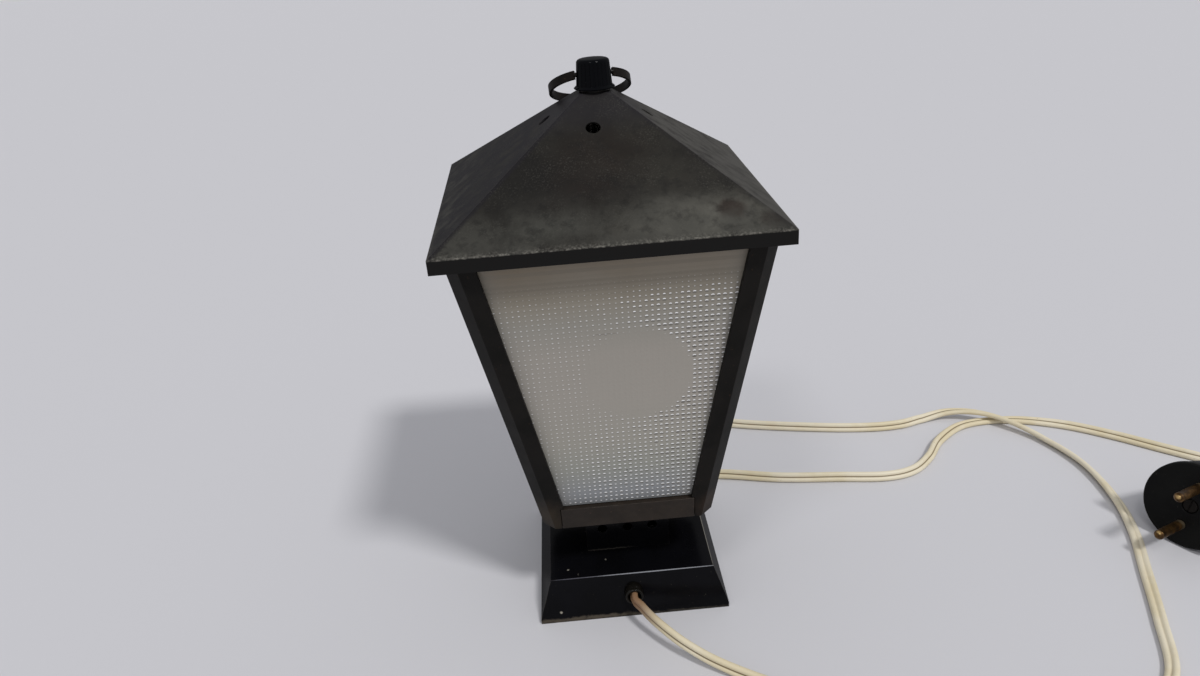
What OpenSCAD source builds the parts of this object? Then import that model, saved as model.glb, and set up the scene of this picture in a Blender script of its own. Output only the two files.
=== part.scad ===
// Lantern night light: a tapered four-sided lantern with a pyramid roof on a
// narrow neck and a low base, lit by a ball bulb and fed by a flat twin cord.
// Millimetres. Origin at the middle of the base's underside, front towards -Y.

/* [Base] */
// Width of the base at the table
base_w = 76.8; // [72:0.2:84]
// Width of the base's flat top
base_top_w = 66.2; // [60:0.2:70]
// Height of the base
base_h = 17.5; // [16:0.5:22]
// Height of the upright rim round the base's foot
rim_h = 2.3; // [1.5:0.1:4]
// Wall of the base shell
base_wall = 2; // [1.6:0.1:2.6]
// Thickness of the cover under the base
cover_t = 1.4; // [1:0.1:2]
// How far the cover is sunk above the table
cover_sink = 0.6; // [0.3:0.1:1]
// Distance of the cover's screws from the middle, along X and Y
cover_screw_at = 26; // [24:0.5:27]
// Length of the cover's screws
cover_screw_l = 9; // [7:0.5:10]

/* [Cord outlet] */
// Height of the cord where it leaves the base
outlet_z = 10.3; // [9:0.1:11]
// Radius of the bush where it passes the wall
bush_r = 2.95; // [2.8:0.05:3.4]
// Radius of the bush outside the wall
bush_lip_r = 3.8; // [3.6:0.1:5]
// How far the bush stands out in front of the base's foot
bush_out = 1; // [0.5:0.1:3]
// Width of the flat cord
cord_w = 4.8; // [4:0.1:5]
// Thickness of the flat cord
cord_t = 2.5; // [2:0.1:2.6]
// Width of the clamp bar along the cord
clamp_w = 6; // [4:0.5:7]

/* [Neck] */
// Outer width of the neck housing
neck_w = 34.6; // [34:0.2:40]
// Height of the neck between base and lantern
neck_h = 25.5; // [22:0.5:34]
// Sheet of the neck
neck_t = 0.8; // [0.6:0.1:1.2]
// Diameter of a vent hole
vent_d = 4; // [3:0.2:5]
// Spacing of the vent holes
vent_pitch = 10.4; // [8:0.2:11]
// Height of the vent holes above the base
vent_up = 11; // [9:0.5:14]
// Distance of the neck's bolts from the middle, along X and Y
neck_bolt_at = 11.8; // [11.6:0.1:12.2]

/* [Lantern] */
// Width of the lantern at its floor
lantern_w = 66.8; // [62:0.2:76]
// Width of the lantern just under the roof
lantern_top_w = 107.8; // [100:0.2:110]
// Height from the lantern's floor to the roof's lower edge
lantern_h = 118.4; // [110:0.2:140]
// Leg of the bevel on each corner post
corner_cut = 4.7; // [4:0.1:6]
// Width of a post's flange
flange_w = 5.7; // [5:0.1:8]
// Sheet of the posts, rails and floor
sheet_t = 0.8; // [0.6:0.1:1.1]
// Depth of the hem that a panel bears on
hem_d = 2.2; // [1.8:0.1:2.6]
// Height of the bottom rails
rail_h = 10; // [8:0.5:14]
// Length of the bottom rails
rail_w = 51.8; // [50:0.2:53]
// Upstand behind a panel's lower edge
rail_lip = 2.5; // [1.5:0.5:4]
// Thickness of a panel
panel_t = 1.8; // [1.4:0.1:2.2]
// Opening in the floor round the bulb holder
floor_hole_d = 32; // [31:0.5:33]

/* [Roof] */
// Width of the roof at its eaves
roof_w = 115; // [112:0.5:125]
// Height of the skirt below the eaves
skirt_h = 4.9; // [4:0.1:7]
// Rise from the eaves to the flat top
roof_rise = 36.9; // [33:0.5:42]
// Width of the flat top
apex_w = 10.6; // [10.4:0.2:14]
// Sheet of the roof
roof_t = 0.8; // [0.6:0.1:1.2]
// Diameter of the hole in each face
roof_hole_d = 5; // [4:0.5:7]
// Distance of those holes from the middle
roof_hole_at = 18; // [15:0.5:24]
// How far left of the middle the front hole was punched
roof_hole_off = 2.1; // [0:0.1:3]

/* [Top frame and stud] */
// Width of the opening in the top frame
frame_open = 80; // [70:1:84]
// Thickness of the top frame
frame_t = 1; // [0.8:0.1:1.4]
// Depth of the frame's flange behind the panels
frame_lip = 6; // [4:0.5:9]
// Width of the strap
strap_w = 12; // [11:0.5:18]
// Thickness of the strap
strap_t = 1.5; // [1.2:0.1:2.5]
// Diameter of the stud
stud_d = 6; // [5:0.5:6]
// Height of a stud nut
stud_nut_h = 4; // [3:0.5:5]

/* [Knob and ring] */
// Height of the knob
knob_h = 10.3; // [9.8:0.1:13]
// Diameter of the knob below its dome
knob_top_d = 11.5; // [11:0.1:12]
// Diameter of the knob above its lower rim
knob_low_d = 12.6; // [12.2:0.1:12.8]
// Diameter of the knob's flared rim
knob_rim_d = 14.4; // [13.4:0.1:15]
// Number of flutes on the knob
flutes = 24; // [16:2:32]
// Height of the ring's pivots above the knob's foot
pivot_up = 4.8; // [4.4:0.1:5.2]
// Radius of the ring at the middle of its strip
ring_r = 14.4; // [13.6:0.1:14.6]
// Width of the strip
strip_w = 2.9; // [2.4:0.1:3]
// Thickness of the strip
strip_t = 1; // [0.8:0.1:1.2]
// Diameter of the ring's pivots
pivot_d = 1.6; // [1.4:0.1:1.8]
// How far the ring lies down at rest
ring_down = 26.5; // [20:0.5:26.5]
// How far the knob stands turned at rest
knob_turned = 6; // [0:1:10]
// Thickness of the washer under the knob
washer_t = 0.8; // [0.6:0.1:1]

/* [Bulb and holder] */
// Diameter of the bulb's ball
ball_d = 45; // [40:1:45]
// Length of the bulb from its cap's end to the ball's middle
bulb_l = 55.5; // [54:0.5:58]
// Diameter of the bulb's screw cap
cap_d = 13.8; // [13.4:0.1:14]
// Length of the screw cap
cap_l = 23; // [22:0.5:25]
// Outer diameter of the holder
holder_d = 25; // [24:0.5:25.6]
// Length of the holder
holder_l = 38; // [36:0.5:40]
// How far the old holder leans to the right
lean = 6; // [0:0.5:6]
// Radius of an inner wire
wire_r = 0.9; // [0.7:0.1:1]

/* [Plug] */
// Diameter of the plug's face
plug_d = 37.2; // [36:0.2:40]
// Thickness of the face disc
plug_face_t = 3; // [2.5:0.1:4]
// Diameter at the plug's rear end
plug_rear_d = 29; // [27:0.5:29]
// Length of the plug's cover behind the face disc
plug_cover_l = 25; // [22:0.5:28]
// Diameter of a pin
pin_d = 4; // [4:0.1:4.8]
// Length of a pin in front of the face
pin_l = 19; // [18:0.5:20]
// Spacing of the pins
pin_pitch = 19; // [18.6:0.2:19.4]
// Length of the sleeve on the cord
sleeve_l = 20; // [20:1:30]

/* [Screws] */
// Diameter of the small screws
screw_d = 3; // [2.6:0.1:3.2]
// Diameter of their heads
head_d = 5.4; // [5:0.1:5.6]
// Height of their heads
head_h = 1.8; // [1.5:0.1:2]
// Width of their nuts across the flats
nut_af = 5.5; // [5:0.1:5.6]
// Height of their nuts
nut_h = 2.4; // [2:0.1:2.6]

/* [Hidden] */
$fn = 48;

// Small gap where two sheets or flat faces meet
seam = 0.05;
// Gap round a shaft that turns or slides in a hole
running = 0.05;
// Gap between the roof and the frame that it sits on
seat = 0.3;
// Length added to a cut so that it passes right through
past = 1;

// Levels, from the table up
base_foot = base_w / 2;
base_top = base_top_w / 2;
base_in_z = base_h - base_wall;
cover_z = cover_sink + cover_t;
clamp_t = 2;
clamp_screw_at = cord_w / 2 + screw_d / 2 + 1.2;
clamp_l = 2 * clamp_screw_at + head_d;
neck_top = base_h + neck_h;
rail_z = neck_top + rail_h;
skirt_z = neck_top + lantern_h;
eave_z = skirt_z + skirt_h;
apex_z = eave_z + roof_rise;

// Slopes: how far a face moves in for each millimetre of height
base_slope = (base_foot - base_top) / (base_h - rim_h);
taper = (lantern_top_w - lantern_w) / 2 / lantern_h;
bevel_taper = taper * sqrt(2);
pitch = roof_rise / (roof_w / 2 - apex_w / 2);
roof_drop = roof_t * sqrt(1 + pitch * pitch);

// Half width of the lantern's outer faces at a height, less a wall measured square to them
function half(z, wall = 0) = lantern_w / 2 + (z - neck_top) * taper - wall * sqrt(1 + taper * taper);
// Distance of the bevelled corners from the middle, less a wall
function bevel(z, wall = 0) =
  sqrt(2) * half(z) - corner_cut / sqrt(2) - wall * sqrt(1 + bevel_taper * bevel_taper);
// Height of the roof's outer face at a distance from the middle
function roof_z(x) = apex_z - (x - apex_w / 2) * pitch;
// Half width of the base's sloping faces at a height
function base_half(z) = base_foot - max(z - rim_h, 0) * base_slope;

// The posts end just under the roof: both slopes meet there
post_top = (apex_z - roof_drop - seat + (apex_w / 2 - lantern_w / 2 + neck_top * taper) * pitch)
  / (1 + taper * pitch);
frame_z = post_top - 4;
panel_top = frame_z - 0.3;
strap_z = frame_z + frame_t + seam;
strap_screw_at = frame_open / 2 + head_d / 2 + 0.4;
panel_in = hem_d + seam;
flange_in = corner_cut + flange_w;
panel_side = corner_cut + 0.5;
floor_screw_at = neck_w / 2 - neck_t - screw_d / 2 - 1.5;
rail_half = rail_w / 2;
rail_gap = 0.2;
rail_shelf = panel_in + panel_t + 0.3;

// Knob and ring
washer_z = apex_z + 0.1;
knob_z = washer_z + washer_t + 0.1;
pivot_z = knob_z + pivot_up;
knob_rim_h = 1.1;
dome_h = 1.6;
insert_r = stud_d / 2 + 1;
insert_top = knob_z + knob_h - 2.2;
stud_top = insert_top - 0.6;
pivot_half = knob_low_d / 2 + 0.3;
ring_back = sqrt(ring_r * ring_r - pivot_half * pivot_half);
ring_gap = asin(pivot_half / ring_r);

// Holder and bulb, along the leaning axis from the bracket's upper plate
foot_t = 1;
foot_z = base_h + neck_t;
shelf_t = 1;
lean_z = foot_z + foot_t + 2.2;
shelf_len = 24;
shelf_w = 13;
wire_at = 10.8;
wire_hole_r = 3.2;
holder_s = shelf_t + seam;
cap_s = holder_s + 12;
ball_s = cap_s + bulb_l;
cap_r = cap_d / 2;
shell_in = cap_r + running;
shell_t = 0.5;
terminal = 4;
terminal_x = 5;
terminal_up = 5;
filament_w = 14;
filament_up = 27;
terminal_screw_h = 1.4;

// Cord and plug
plug_az = 209.5;
plug_up = 10;
plug_roll = -7;
rear_l = plug_face_t + plug_cover_l;
plug_axis = [sin(90 - plug_up) * cos(plug_az), sin(90 - plug_up) * sin(plug_az), cos(90 - plug_up)];
plug_at = [234.8, -26.2, plug_d / 2 * cos(plug_up) + plug_face_t * sin(plug_up) + seam];
slot_play = 0.15;
sleeve_grip = 6;

// The cord's route from the bush in the base to the coil behind the lamp
route_out = [
  [0, -40.2, outlet_z], [2.2, -44.5, 10.1], [5, -49.5, 9.6],
  [9.5, -55.5, 8.6], [15, -61.5, 7.2], [21, -66.5, 5.6], [28, -71.5, 4.2], [39, -78, 2.6],
  [56, -88, 1.8], [80, -100, 1.4], [110, -110, 1.4], [142, -113, 1.4], [168, -108, 1.4],
  [186, -94, 1.4], [198, -69, 1.4], [209, -43, 1.4], [219, -19, 1.4], [225, 5, 1.4],
  [226, 32, 1.5], [219, 56, 2.4], [208, 72, 4.2], [196, 82, 4.8], [182, 87, 4], [168, 86, 2.2],
  [154, 82, 1.4], [136, 82, 1.4], [108, 87, 1.4], [68, 98, 1.4], [44, 111, 1.4], [22, 119.5, 1.4]
];
// The route from the coil to the plug
route_in = [
  [22, 54.5, 3.2], [38, 54, 1.6], [55, 51, 1.4], [80, 44, 1.4], [108, 40, 1.4], [130, 37, 1.4],
  [145, 40, 1.4], [157, 50, 1.4], [168, 64, 1.4], [184, 76, 1.4], [201, 79, 1.4],
  [218, 76, 1.4], [237, 67, 1.4], [254, 54, 1.4], [268, 41, 1.4], [277.5, 32.5, 1.5],
  [288, 23.4, 2.4], [292.2, 16.6, 4.2], [291.4, 8.6, 6.6], [286, 2.8, 8.5]
];

// The coil: turns spiral in on the table, climb once and spiral out on top
coil_at = [2, 87.5];
coil_r = 32.5;
coil_pitch = 5.6;
coil_turns = 4.5;
coil_lift = 3.1;
coil_rings = 24;
coil_lead = 5;
cord_lead = 7;

// Where the cord starts behind its clamp, and where it ends inside the plug
clamp_y = -19;
cord_start = [0, clamp_y + clamp_w / 2 + 1, outlet_z];
cord_end = plug_at - (rear_l - 6.5) * plug_axis;
sleeve_mouth = plug_at - (rear_l + sleeve_l + 2.5) * plug_axis;
coil_in = [coil_at[0] + coil_lead, coil_at[1] + coil_r, 1.4];
coil_out = [coil_at[0] + coil_lead, coil_at[1] - coil_r, 1.4 + coil_lift];

// A point on the smooth curve between b and c
function curve(a, b, c, d, t) =
  0.5 * (2 * b + (c - a) * t + (2 * a - 5 * b + 4 * c - d) * t * t + (3 * b - a - 3 * c + d) * t * t * t);
// The route's own points joined by a smooth curve, each stretch cut in n
function smooth(p, n = 6) = [
  for (i = [0:len(p) - 2], j = [0:n - 1])
    curve(p[max(i - 1, 0)], p[i], p[i + 1], p[min(i + 2, len(p) - 1)], j / n),
  p[len(p) - 1]
];
// Length along a line of points, up to each of them
function run_length(p) = [
  for (i = 0, s = 0; i < len(p); s = s + (i < len(p) - 1 ? norm(p[i + 1] - p[i]) : 0), i = i + 1) s
];
// The same line with points at even steps
function even(p, step) =
  let (s = run_length(p), all = s[len(s) - 1], n = round(all / step))
  [for (k = [0:n]) [for (c = [0:2]) lookup(all * k / n, [for (i = [0:len(p) - 1]) [s[i], p[i][c]]])]];
// Direction of a line at one of its points
function heading(p, i) =
  let (d = p[min(i + 1, len(p) - 1)] - p[max(i - 1, 0)]) d / norm(d);
// One outline of a flat cord set across the line
function ring_at(p, i, outline) =
  let (t = heading(p, i), s = cross([0, 0, 1], t), side = s / norm(s), up = cross(t, side))
  [for (q = outline) p[i] + q[0] * side + q[1] * up];

// Outlines of the flat cord, with eight corners and with six
cord_outline = [
  for (q = [[1, -1], [1, 1], [-1, 1], [-1, -1]], e = [0, 1])
    let (first = (q[0] * q[1] < 0) == (e == 0))
    first
      ? [q[0] * (cord_w / 2 - 0.3 * cord_t), q[1] * cord_t / 2]
      : [q[0] * cord_w / 2, q[1] * 0.22 * cord_t]
];
coil_outline = [
  [cord_w / 2, 0], [cord_w / 2 - 0.3 * cord_t, cord_t / 2], [0.3 * cord_t - cord_w / 2, cord_t / 2],
  [-cord_w / 2, 0], [0.3 * cord_t - cord_w / 2, -cord_t / 2], [cord_w / 2 - 0.3 * cord_t, -cord_t / 2]
];
wire_outline = [for (k = [0:5]) wire_r * [cos(60 * k), sin(60 * k)]];

// A point of the coil, q from 0 at its way in to 1 at its way out
function coil_point(q) =
  let (
    done = q * coil_turns,
    from_middle = abs(done - coil_turns / 2),
    r = coil_r - coil_pitch * (coil_turns / 2 - from_middle),
    climb = min(max((done - coil_turns / 2) * 2 + 0.5, 0), 1),
    a = 90 + 360 * done
  )
  [coil_at[0] + r * cos(a), coil_at[1] + r * sin(a), 1.4 + coil_lift * climb * climb * (3 - 2 * climb)];
coil_line = let (n = coil_turns * coil_rings) [
  coil_in, for (k = [0:n]) coil_point(k / n), coil_out
];

// The two free runs, which start and end square to what they meet
out_run = even(smooth(concat(route_out, [coil_in + [cord_lead, 0, 0]])), 13);
in_run = even(smooth(concat([coil_out + [cord_lead, 0, 0]], route_in, [sleeve_mouth])), 13);

// A solid swept along a line from outlines of equal count
module swept(p, outline) {
  m = len(outline);
  n = len(p);
  points = [for (i = [0:n - 1]) each ring_at(p, i, outline)];
  sides = [
    for (i = [0:n - 2], j = [0:m - 1])
      let (a = i * m + j, b = i * m + (j + 1) % m) each [[a, a + m, b], [b, a + m, b + m]]
  ];
  polyhedron(points = points, faces = concat(sides, [[for (j = [0:m - 1]) j]],
    [[for (j = [m - 1:-1:0]) (n - 1) * m + j]]));
}

// A four-sided form: one upright outline seen alike from the front and from the side
module four_sided(outline, w) {
  intersection_for (k = [0, 1])
    rotate([0, 0, 90 * k]) translate([0, w / 2, 0]) rotate([90, 0, 0]) linear_extrude(w) polygon(outline);
}

// A mirrored outline from its right half, given as [distance, height]
function mirrored(p) = concat(p, [for (i = [len(p) - 1:-1:0]) [-p[i][0], p[i][1]]]);

// Inside of the lantern's outer faces, drawn in by a wall, with or without the corner bevels
module lantern_form(wall, z0, z1, bevelled = true) {
  intersection() {
    four_sided(mirrored([[half(z0, wall), z0], [half(z1, wall), z1]]), 2 * lantern_top_w);
    if (bevelled)
      rotate([0, 0, 45])
        four_sided(mirrored([[bevel(z0, wall), z0], [bevel(z1, wall), z1]]), 2 * lantern_top_w);
  }
}

// Upright block between two distances from the lantern's faces, seen from the front
module face_strip(inset, z0, z1) {
  translate([0, lantern_top_w, 0]) rotate([90, 0, 0]) linear_extrude(2 * lantern_top_w)
    polygon([[half(z0) - inset, z0], [lantern_top_w, z0], [lantern_top_w, z1], [half(z1) - inset, z1]]);
}

// Corner of the lantern at +X and +Y outside the given inset
module corner_column(inset, z0, z1) {
  intersection() {
    face_strip(inset, z0, z1);
    mirror([1, -1, 0]) face_strip(inset, z0, z1);
  }
}

// Slot for a flat cord along Z
module cord_slot(l, play = slot_play) {
  r = cord_t / 2 + play;
  at = cord_w / 2 - cord_t / 2;
  for (s = [-1, 1]) translate([s * at, 0, 0]) cylinder(r = r, h = l);
  translate([-at, -r, 0]) cube([2 * at, 2 * r, l]);
}

// Copies at the four corners of a square
module at_corners(d) {
  for (x = [-1, 1], y = [-1, 1]) translate([x * d, y * d, 0]) children();
}

// Pan-head screw, head down, its thread rising from the seat at z = 0
module screw_up(l) {
  r = screw_d / 2;
  cylinder(r = r, h = l);
  translate([0, 0, -head_h]) difference() {
    cylinder(r = head_d / 2, h = head_h);
    translate([-head_d, -0.35, -past]) cube([2 * head_d, 0.7, past + 0.7]);
  }
}

// Hexagon nut standing on z = 0
module hex_nut(af, h, hole_r) {
  difference() {
    cylinder(r = af / 2 / cos(30), h = h, $fn = 6);
    translate([0, 0, -past]) cylinder(r = hole_r, h = h + 2 * past);
  }
}

// Outside of the base
module base_form(inset = 0) {
  four_sided(mirrored([
    [base_foot - inset, inset > 0 ? -past : 0], [base_foot - inset, rim_h],
    [base_top - inset, base_h - (inset > 0 ? base_wall : 0)]
  ]), 2 * base_w);
}

module base_shell() color("#17181b") {
  boss_r = screw_d / 2 + 1.8;
  difference() {
    union() {
      difference() {
        base_form();
        base_form(base_wall);
      }
      at_corners(cover_screw_at) translate([0, 0, cover_z + seam])
        cylinder(r = boss_r, h = base_in_z - cover_z);
      translate([-clamp_l / 2, clamp_y - clamp_w / 2, outlet_z + cord_t / 2 + seam])
        cube([clamp_l, clamp_w, base_in_z - outlet_z - cord_t / 2]);
    }
    at_corners(cover_screw_at) translate([0, 0, -past]) cylinder(r = screw_d / 2 + running, h = base_in_z);
    at_corners(neck_bolt_at) translate([0, 0, base_in_z - past])
      cylinder(r = screw_d / 2 + running, h = base_wall + 2 * past);
    translate([0, wire_at, base_in_z - past]) cylinder(r = wire_hole_r, h = base_wall + 2 * past);
    translate([0, -base_foot + 8, outlet_z]) rotate([90, 0, 0]) cylinder(r = bush_r + running, h = 12);
    for (s = [-1, 1]) translate([s * clamp_screw_at, clamp_y, 0])
      cylinder(r = screw_d / 2 + running, h = base_in_z);
  }
}

module base_cover() color("#3a3430") {
  w = base_w - 2 * base_wall - 0.4;
  difference() {
    translate([-w / 2, -w / 2, cover_sink]) cube([w, w, cover_t]);
    at_corners(cover_screw_at) {
      translate([0, 0, -past]) cylinder(r = screw_d / 2 + 0.2, h = 4 * past);
      translate([0, 0, cover_sink - seam])
        cylinder(r1 = head_d / 2 + seam, r2 = screw_d / 2 + 0.2, h = cover_t - 0.3);
    }
  }
}

module cover_screws() color("#8a8a86") {
  at_corners(cover_screw_at) {
    translate([0, 0, cover_sink]) cylinder(r1 = head_d / 2 - seam, r2 = screw_d / 2, h = cover_t - 0.4);
    translate([0, 0, cover_sink]) cylinder(r = screw_d / 2, h = cover_screw_l);
  }
}

module cord_bush() color("#3b352c") {
  face_y = base_half(outlet_z + bush_lip_r);
  tip = base_foot + bush_out;
  translate([0, 0, outlet_z]) difference() {
    union() {
      translate([0, -face_y + base_wall + 1.6, 0]) rotate([90, 0, 0])
        cylinder(r = bush_r, h = tip - face_y + base_wall);
      difference() {
        translate([0, -face_y, 0]) rotate([90, 0, 0]) rotate_extrude()
          polygon([[0, 0], [bush_lip_r, 0], [bush_lip_r, tip - face_y - 1.2],
            [bush_lip_r - 0.5, tip - face_y - 0.3], [bush_lip_r - 1, tip - face_y], [0, tip - face_y]]);
        translate([0, 0, -outlet_z]) base_form();
      }
    }
    translate([0, past - base_top + 6, 0]) rotate([90, 0, 0]) cord_slot(2 * tip - base_top);
  }
}

module cord_clamp() color("#6d4a2c") {
  z = outlet_z - cord_t / 2 - seam;
  difference() {
    translate([-clamp_l / 2, clamp_y - clamp_w / 2, z - clamp_t]) cube([clamp_l, clamp_w, clamp_t]);
    for (s = [-1, 1]) translate([s * clamp_screw_at, clamp_y, z - clamp_t - past])
      cylinder(r = screw_d / 2 + running, h = clamp_t + 2 * past);
  }
}

module clamp_screws() color("#8a8a86") {
  for (s = [-1, 1])
    translate([s * clamp_screw_at, clamp_y, outlet_z - cord_t / 2 - seam - clamp_t])
      screw_up(clamp_t + cord_t + 2);
}

module neck_housing() color("#141519") {
  in = neck_w / 2 - neck_t;
  difference() {
    translate([-neck_w / 2, -neck_w / 2, base_h]) cube([neck_w, neck_w, neck_h]);
    translate([-in, -in, base_h + neck_t]) cube([2 * in, 2 * in, neck_h - 2 * neck_t]);
    translate([0, 0, neck_top - past]) cylinder(r = floor_hole_d / 2, h = 2 * past);
    at_corners(neck_bolt_at) translate([0, 0, base_h - past])
      cylinder(r = screw_d / 2 + running, h = 2 * past);
    at_corners(floor_screw_at) translate([0, 0, neck_top - past])
      cylinder(r = screw_d / 2 + running, h = 2 * past);
    translate([0, wire_at, base_h - past]) cylinder(r = wire_hole_r, h = 2 * past);
    for (k = [0:3], x = [-1:1]) rotate([0, 0, 90 * k])
      translate([x * vent_pitch, -neck_w / 2 - past, base_h + vent_up]) rotate([-90, 0, 0])
        cylinder(r = vent_d / 2, h = neck_t + 2 * past);
  }
}

module neck_bolts() color("#8a8a86") {
  at_corners(neck_bolt_at) translate([0, 0, base_in_z - seam])
    screw_up(base_wall + neck_t + foot_t + nut_h + 0.6);
}

module neck_nuts() color("#a39a78") {
  at_corners(neck_bolt_at) translate([0, 0, foot_z + foot_t + seam])
    hex_nut(nut_af, nut_h, screw_d / 2 + running);
}

module floor_plate() color("#1d1a17") {
  difference() {
    lantern_form(sheet_t + seam, neck_top, neck_top + sheet_t);
    translate([0, 0, neck_top - past]) cylinder(r = floor_hole_d / 2, h = 3 * past);
    at_corners(floor_screw_at) translate([0, 0, neck_top - past])
      cylinder(r = screw_d / 2 + running, h = 3 * past);
  }
}

module floor_screws() color("#8a8a86") {
  at_corners(floor_screw_at) translate([0, 0, neck_top + sheet_t + seam]) mirror([0, 0, 1])
    screw_up(sheet_t + neck_t + nut_h + 0.6);
}

module floor_nuts() color("#a39a78") {
  at_corners(floor_screw_at) translate([0, 0, neck_top - neck_t - seam - nut_h])
    rotate([0, 0, 15]) hex_nut(nut_af - 0.5, nut_h, screw_d / 2 + running);
}

// Bottom rail on the front side: wall, shelf for the panel and the upstand behind it
module rail() color("#2a2320") {
  shelf_z = rail_z - sheet_t;
  back = half(rail_z) - rail_shelf - sheet_t;
  intersection() {
    difference() {
      lantern_form(0, neck_top, rail_z, false);
      lantern_form(sheet_t, neck_top - past, rail_z + past, false);
    }
    translate([-rail_half, -lantern_w, neck_top]) cube([rail_w, lantern_w, rail_h]);
  }
  translate([-rail_half, -half(shelf_z) + sheet_t / 2, shelf_z])
    cube([rail_w, half(shelf_z) - sheet_t / 2 - back, sheet_t]);
  translate([-rail_half, -back - sheet_t, shelf_z]) cube([rail_w, sheet_t, sheet_t + rail_lip]);
}

// Corner post at +X and +Y: two flanges, a bevelled web and a hem along each flange
module post() color("#221f1b") {
  z0 = neck_top;
  z1 = post_top;
  hole = rail_half + rail_gap;
  difference() {
    intersection() {
      corner_column(flange_in, z0, z1);
      lantern_form(0, z0, z1);
      union() {
        difference() {
          lantern_form(0, z0, z1);
          lantern_form(sheet_t, z0 - past, z1 + past);
        }
        difference() {
          lantern_form(0, z0, z1);
          lantern_form(hem_d, z0 - past, z1 + past);
          corner_column(flange_in - sheet_t, z0 - past, z1 + past);
        }
      }
    }
    translate([0, 0, z0 - past]) cube([hole, lantern_w, rail_h + past + rail_gap]);
    translate([0, 0, z0 - past]) cube([lantern_w, hole, rail_h + past + rail_gap]);
    lantern_form(sheet_t + seam / 2, frame_z - seam, frame_z + frame_t + seam);
  }
}

// Front panel, standing on the rail's shelf behind the posts' hems
module panel() color("#d9d9d4") {
  z0 = rail_z + seam;
  difference() {
    intersection() {
      lantern_form(panel_in, z0, panel_top, false);
      translate([0, 0, 0]) rotate([90, 0, 0]) linear_extrude(lantern_top_w)
        polygon(mirrored([[half(z0) - panel_side, z0], [half(panel_top) - panel_side, panel_top]]));
    }
    lantern_form(panel_in + panel_t, z0 - past, panel_top + past, false);
  }
}

module top_frame() color("#26221e") {
  lip_z = frame_z - frame_lip;
  lip_in = panel_in + panel_t + 0.2;
  difference() {
    union() {
      lantern_form(sheet_t + seam, frame_z, frame_z + frame_t);
      lantern_form(lip_in, lip_z, frame_z + seam, false);
    }
    lantern_form(lip_in + sheet_t, lip_z - past, frame_z, false);
    translate([-frame_open / 2, -frame_open / 2, frame_z - past])
      cube([frame_open, frame_open, frame_t + 2 * past]);
    for (s = [-1, 1]) translate([s * strap_screw_at, 0, frame_z - past])
      cylinder(r = screw_d / 2 + running, h = frame_t + 2 * past);
  }
}

module top_strap() color("#2d2823") {
  l = strap_screw_at + head_d / 2 + 0.6;
  difference() {
    translate([-l, -strap_w / 2, strap_z]) cube([2 * l, strap_w, strap_t]);
    for (s = [-1, 1]) translate([s * strap_screw_at, 0, strap_z - past])
      cylinder(r = screw_d / 2 + running, h = strap_t + 2 * past);
    translate([0, 0, strap_z - past]) cylinder(r = stud_d / 2 + running, h = strap_t + 2 * past);
  }
}

module strap_screws() color("#8a8a86") {
  for (s = [-1, 1]) translate([s * strap_screw_at, 0, strap_z + strap_t + seam]) mirror([0, 0, 1])
    screw_up(strap_t + frame_t + 1);
}

module roof_stud() color("#9a9890") {
  z0 = strap_z - stud_nut_h - 1.5;
  translate([0, 0, z0]) cylinder(r = stud_d / 2, h = stud_top - z0);
}

module stud_nuts() color("#a39a78") {
  for (z = [strap_z - seam - stud_nut_h, strap_z + strap_t + seam])
    translate([0, 0, z]) hex_nut(stud_d * 5 / 3, stud_nut_h, stud_d / 2 + running);
}

module roof() color("#3b3a35") {
  wide = roof_w / 2;
  in = wide - roof_t;
  difference() {
    four_sided(mirrored([[wide, skirt_z], [wide, eave_z], [apex_w / 2, apex_z]]), roof_w);
    four_sided(mirrored([
      [in, skirt_z - past], [in, roof_z(in) - roof_drop], [apex_w / 2, apex_z - roof_drop]
    ]), roof_w);
    translate([0, 0, apex_z - 2 * past]) cylinder(r = stud_d / 2 + 0.3, h = 3 * past);
    for (k = [0:3]) rotate([0, 0, 90 * k])
      translate([k == 0 ? -roof_hole_off : 0, -roof_hole_at, roof_z(roof_hole_at)])
        rotate([atan(pitch), 0, 0]) translate([0, 0, -3]) cylinder(r = roof_hole_d / 2, h = 6);
  }
}

module knob_washer() color("#55524c") {
  translate([0, 0, washer_z]) difference() {
    cylinder(r = apex_w / 2 - 0.2, h = washer_t);
    translate([0, 0, -past]) cylinder(r = stud_d / 2 + 0.1, h = washer_t + 2 * past);
  }
}

module finial_knob() color("#14161c") {
  rim = knob_rim_d / 2;
  low = knob_low_d / 2;
  top = knob_top_d / 2;
  rotate([0, 0, knob_turned]) translate([0, 0, knob_z]) difference() {
    rotate_extrude()
      polygon([[0, 0], [rim - 0.2, 0], [rim, 0.3], [low, knob_rim_h], [top, knob_h - dome_h],
        for (a = [20:20:80]) [top - dome_h + dome_h * cos(a), knob_h - dome_h + (dome_h - 0.4) * sin(a)],
        [0, knob_h]]);
    for (k = [0:flutes - 1]) rotate([0, 0, (k + 0.5) * 360 / flutes])
      translate([low + 0.15, 0, knob_rim_h]) rotate([0, atan((top - low) / (knob_h - dome_h)), 0])
        cylinder(r = 0.35, h = knob_h - dome_h - knob_rim_h, $fn = 16);
    translate([0, 0, -past]) cylinder(r = insert_r + seam, h = insert_top - knob_z + past);
    for (s = [-1, 1]) translate([s * (insert_r + 0.5), 0, pivot_up]) rotate([0, 90 * s, 0])
      cylinder(r = pivot_d / 2 + running, h = 5);
  }
}

module knob_insert() color("#b08d4c") {
  translate([0, 0, knob_z + 0.2]) difference() {
    cylinder(r = insert_r, h = insert_top - knob_z - 0.2 - seam);
    translate([0, 0, -past]) cylinder(r = stud_d / 2 + running, h = knob_h + past);
  }
}

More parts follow.
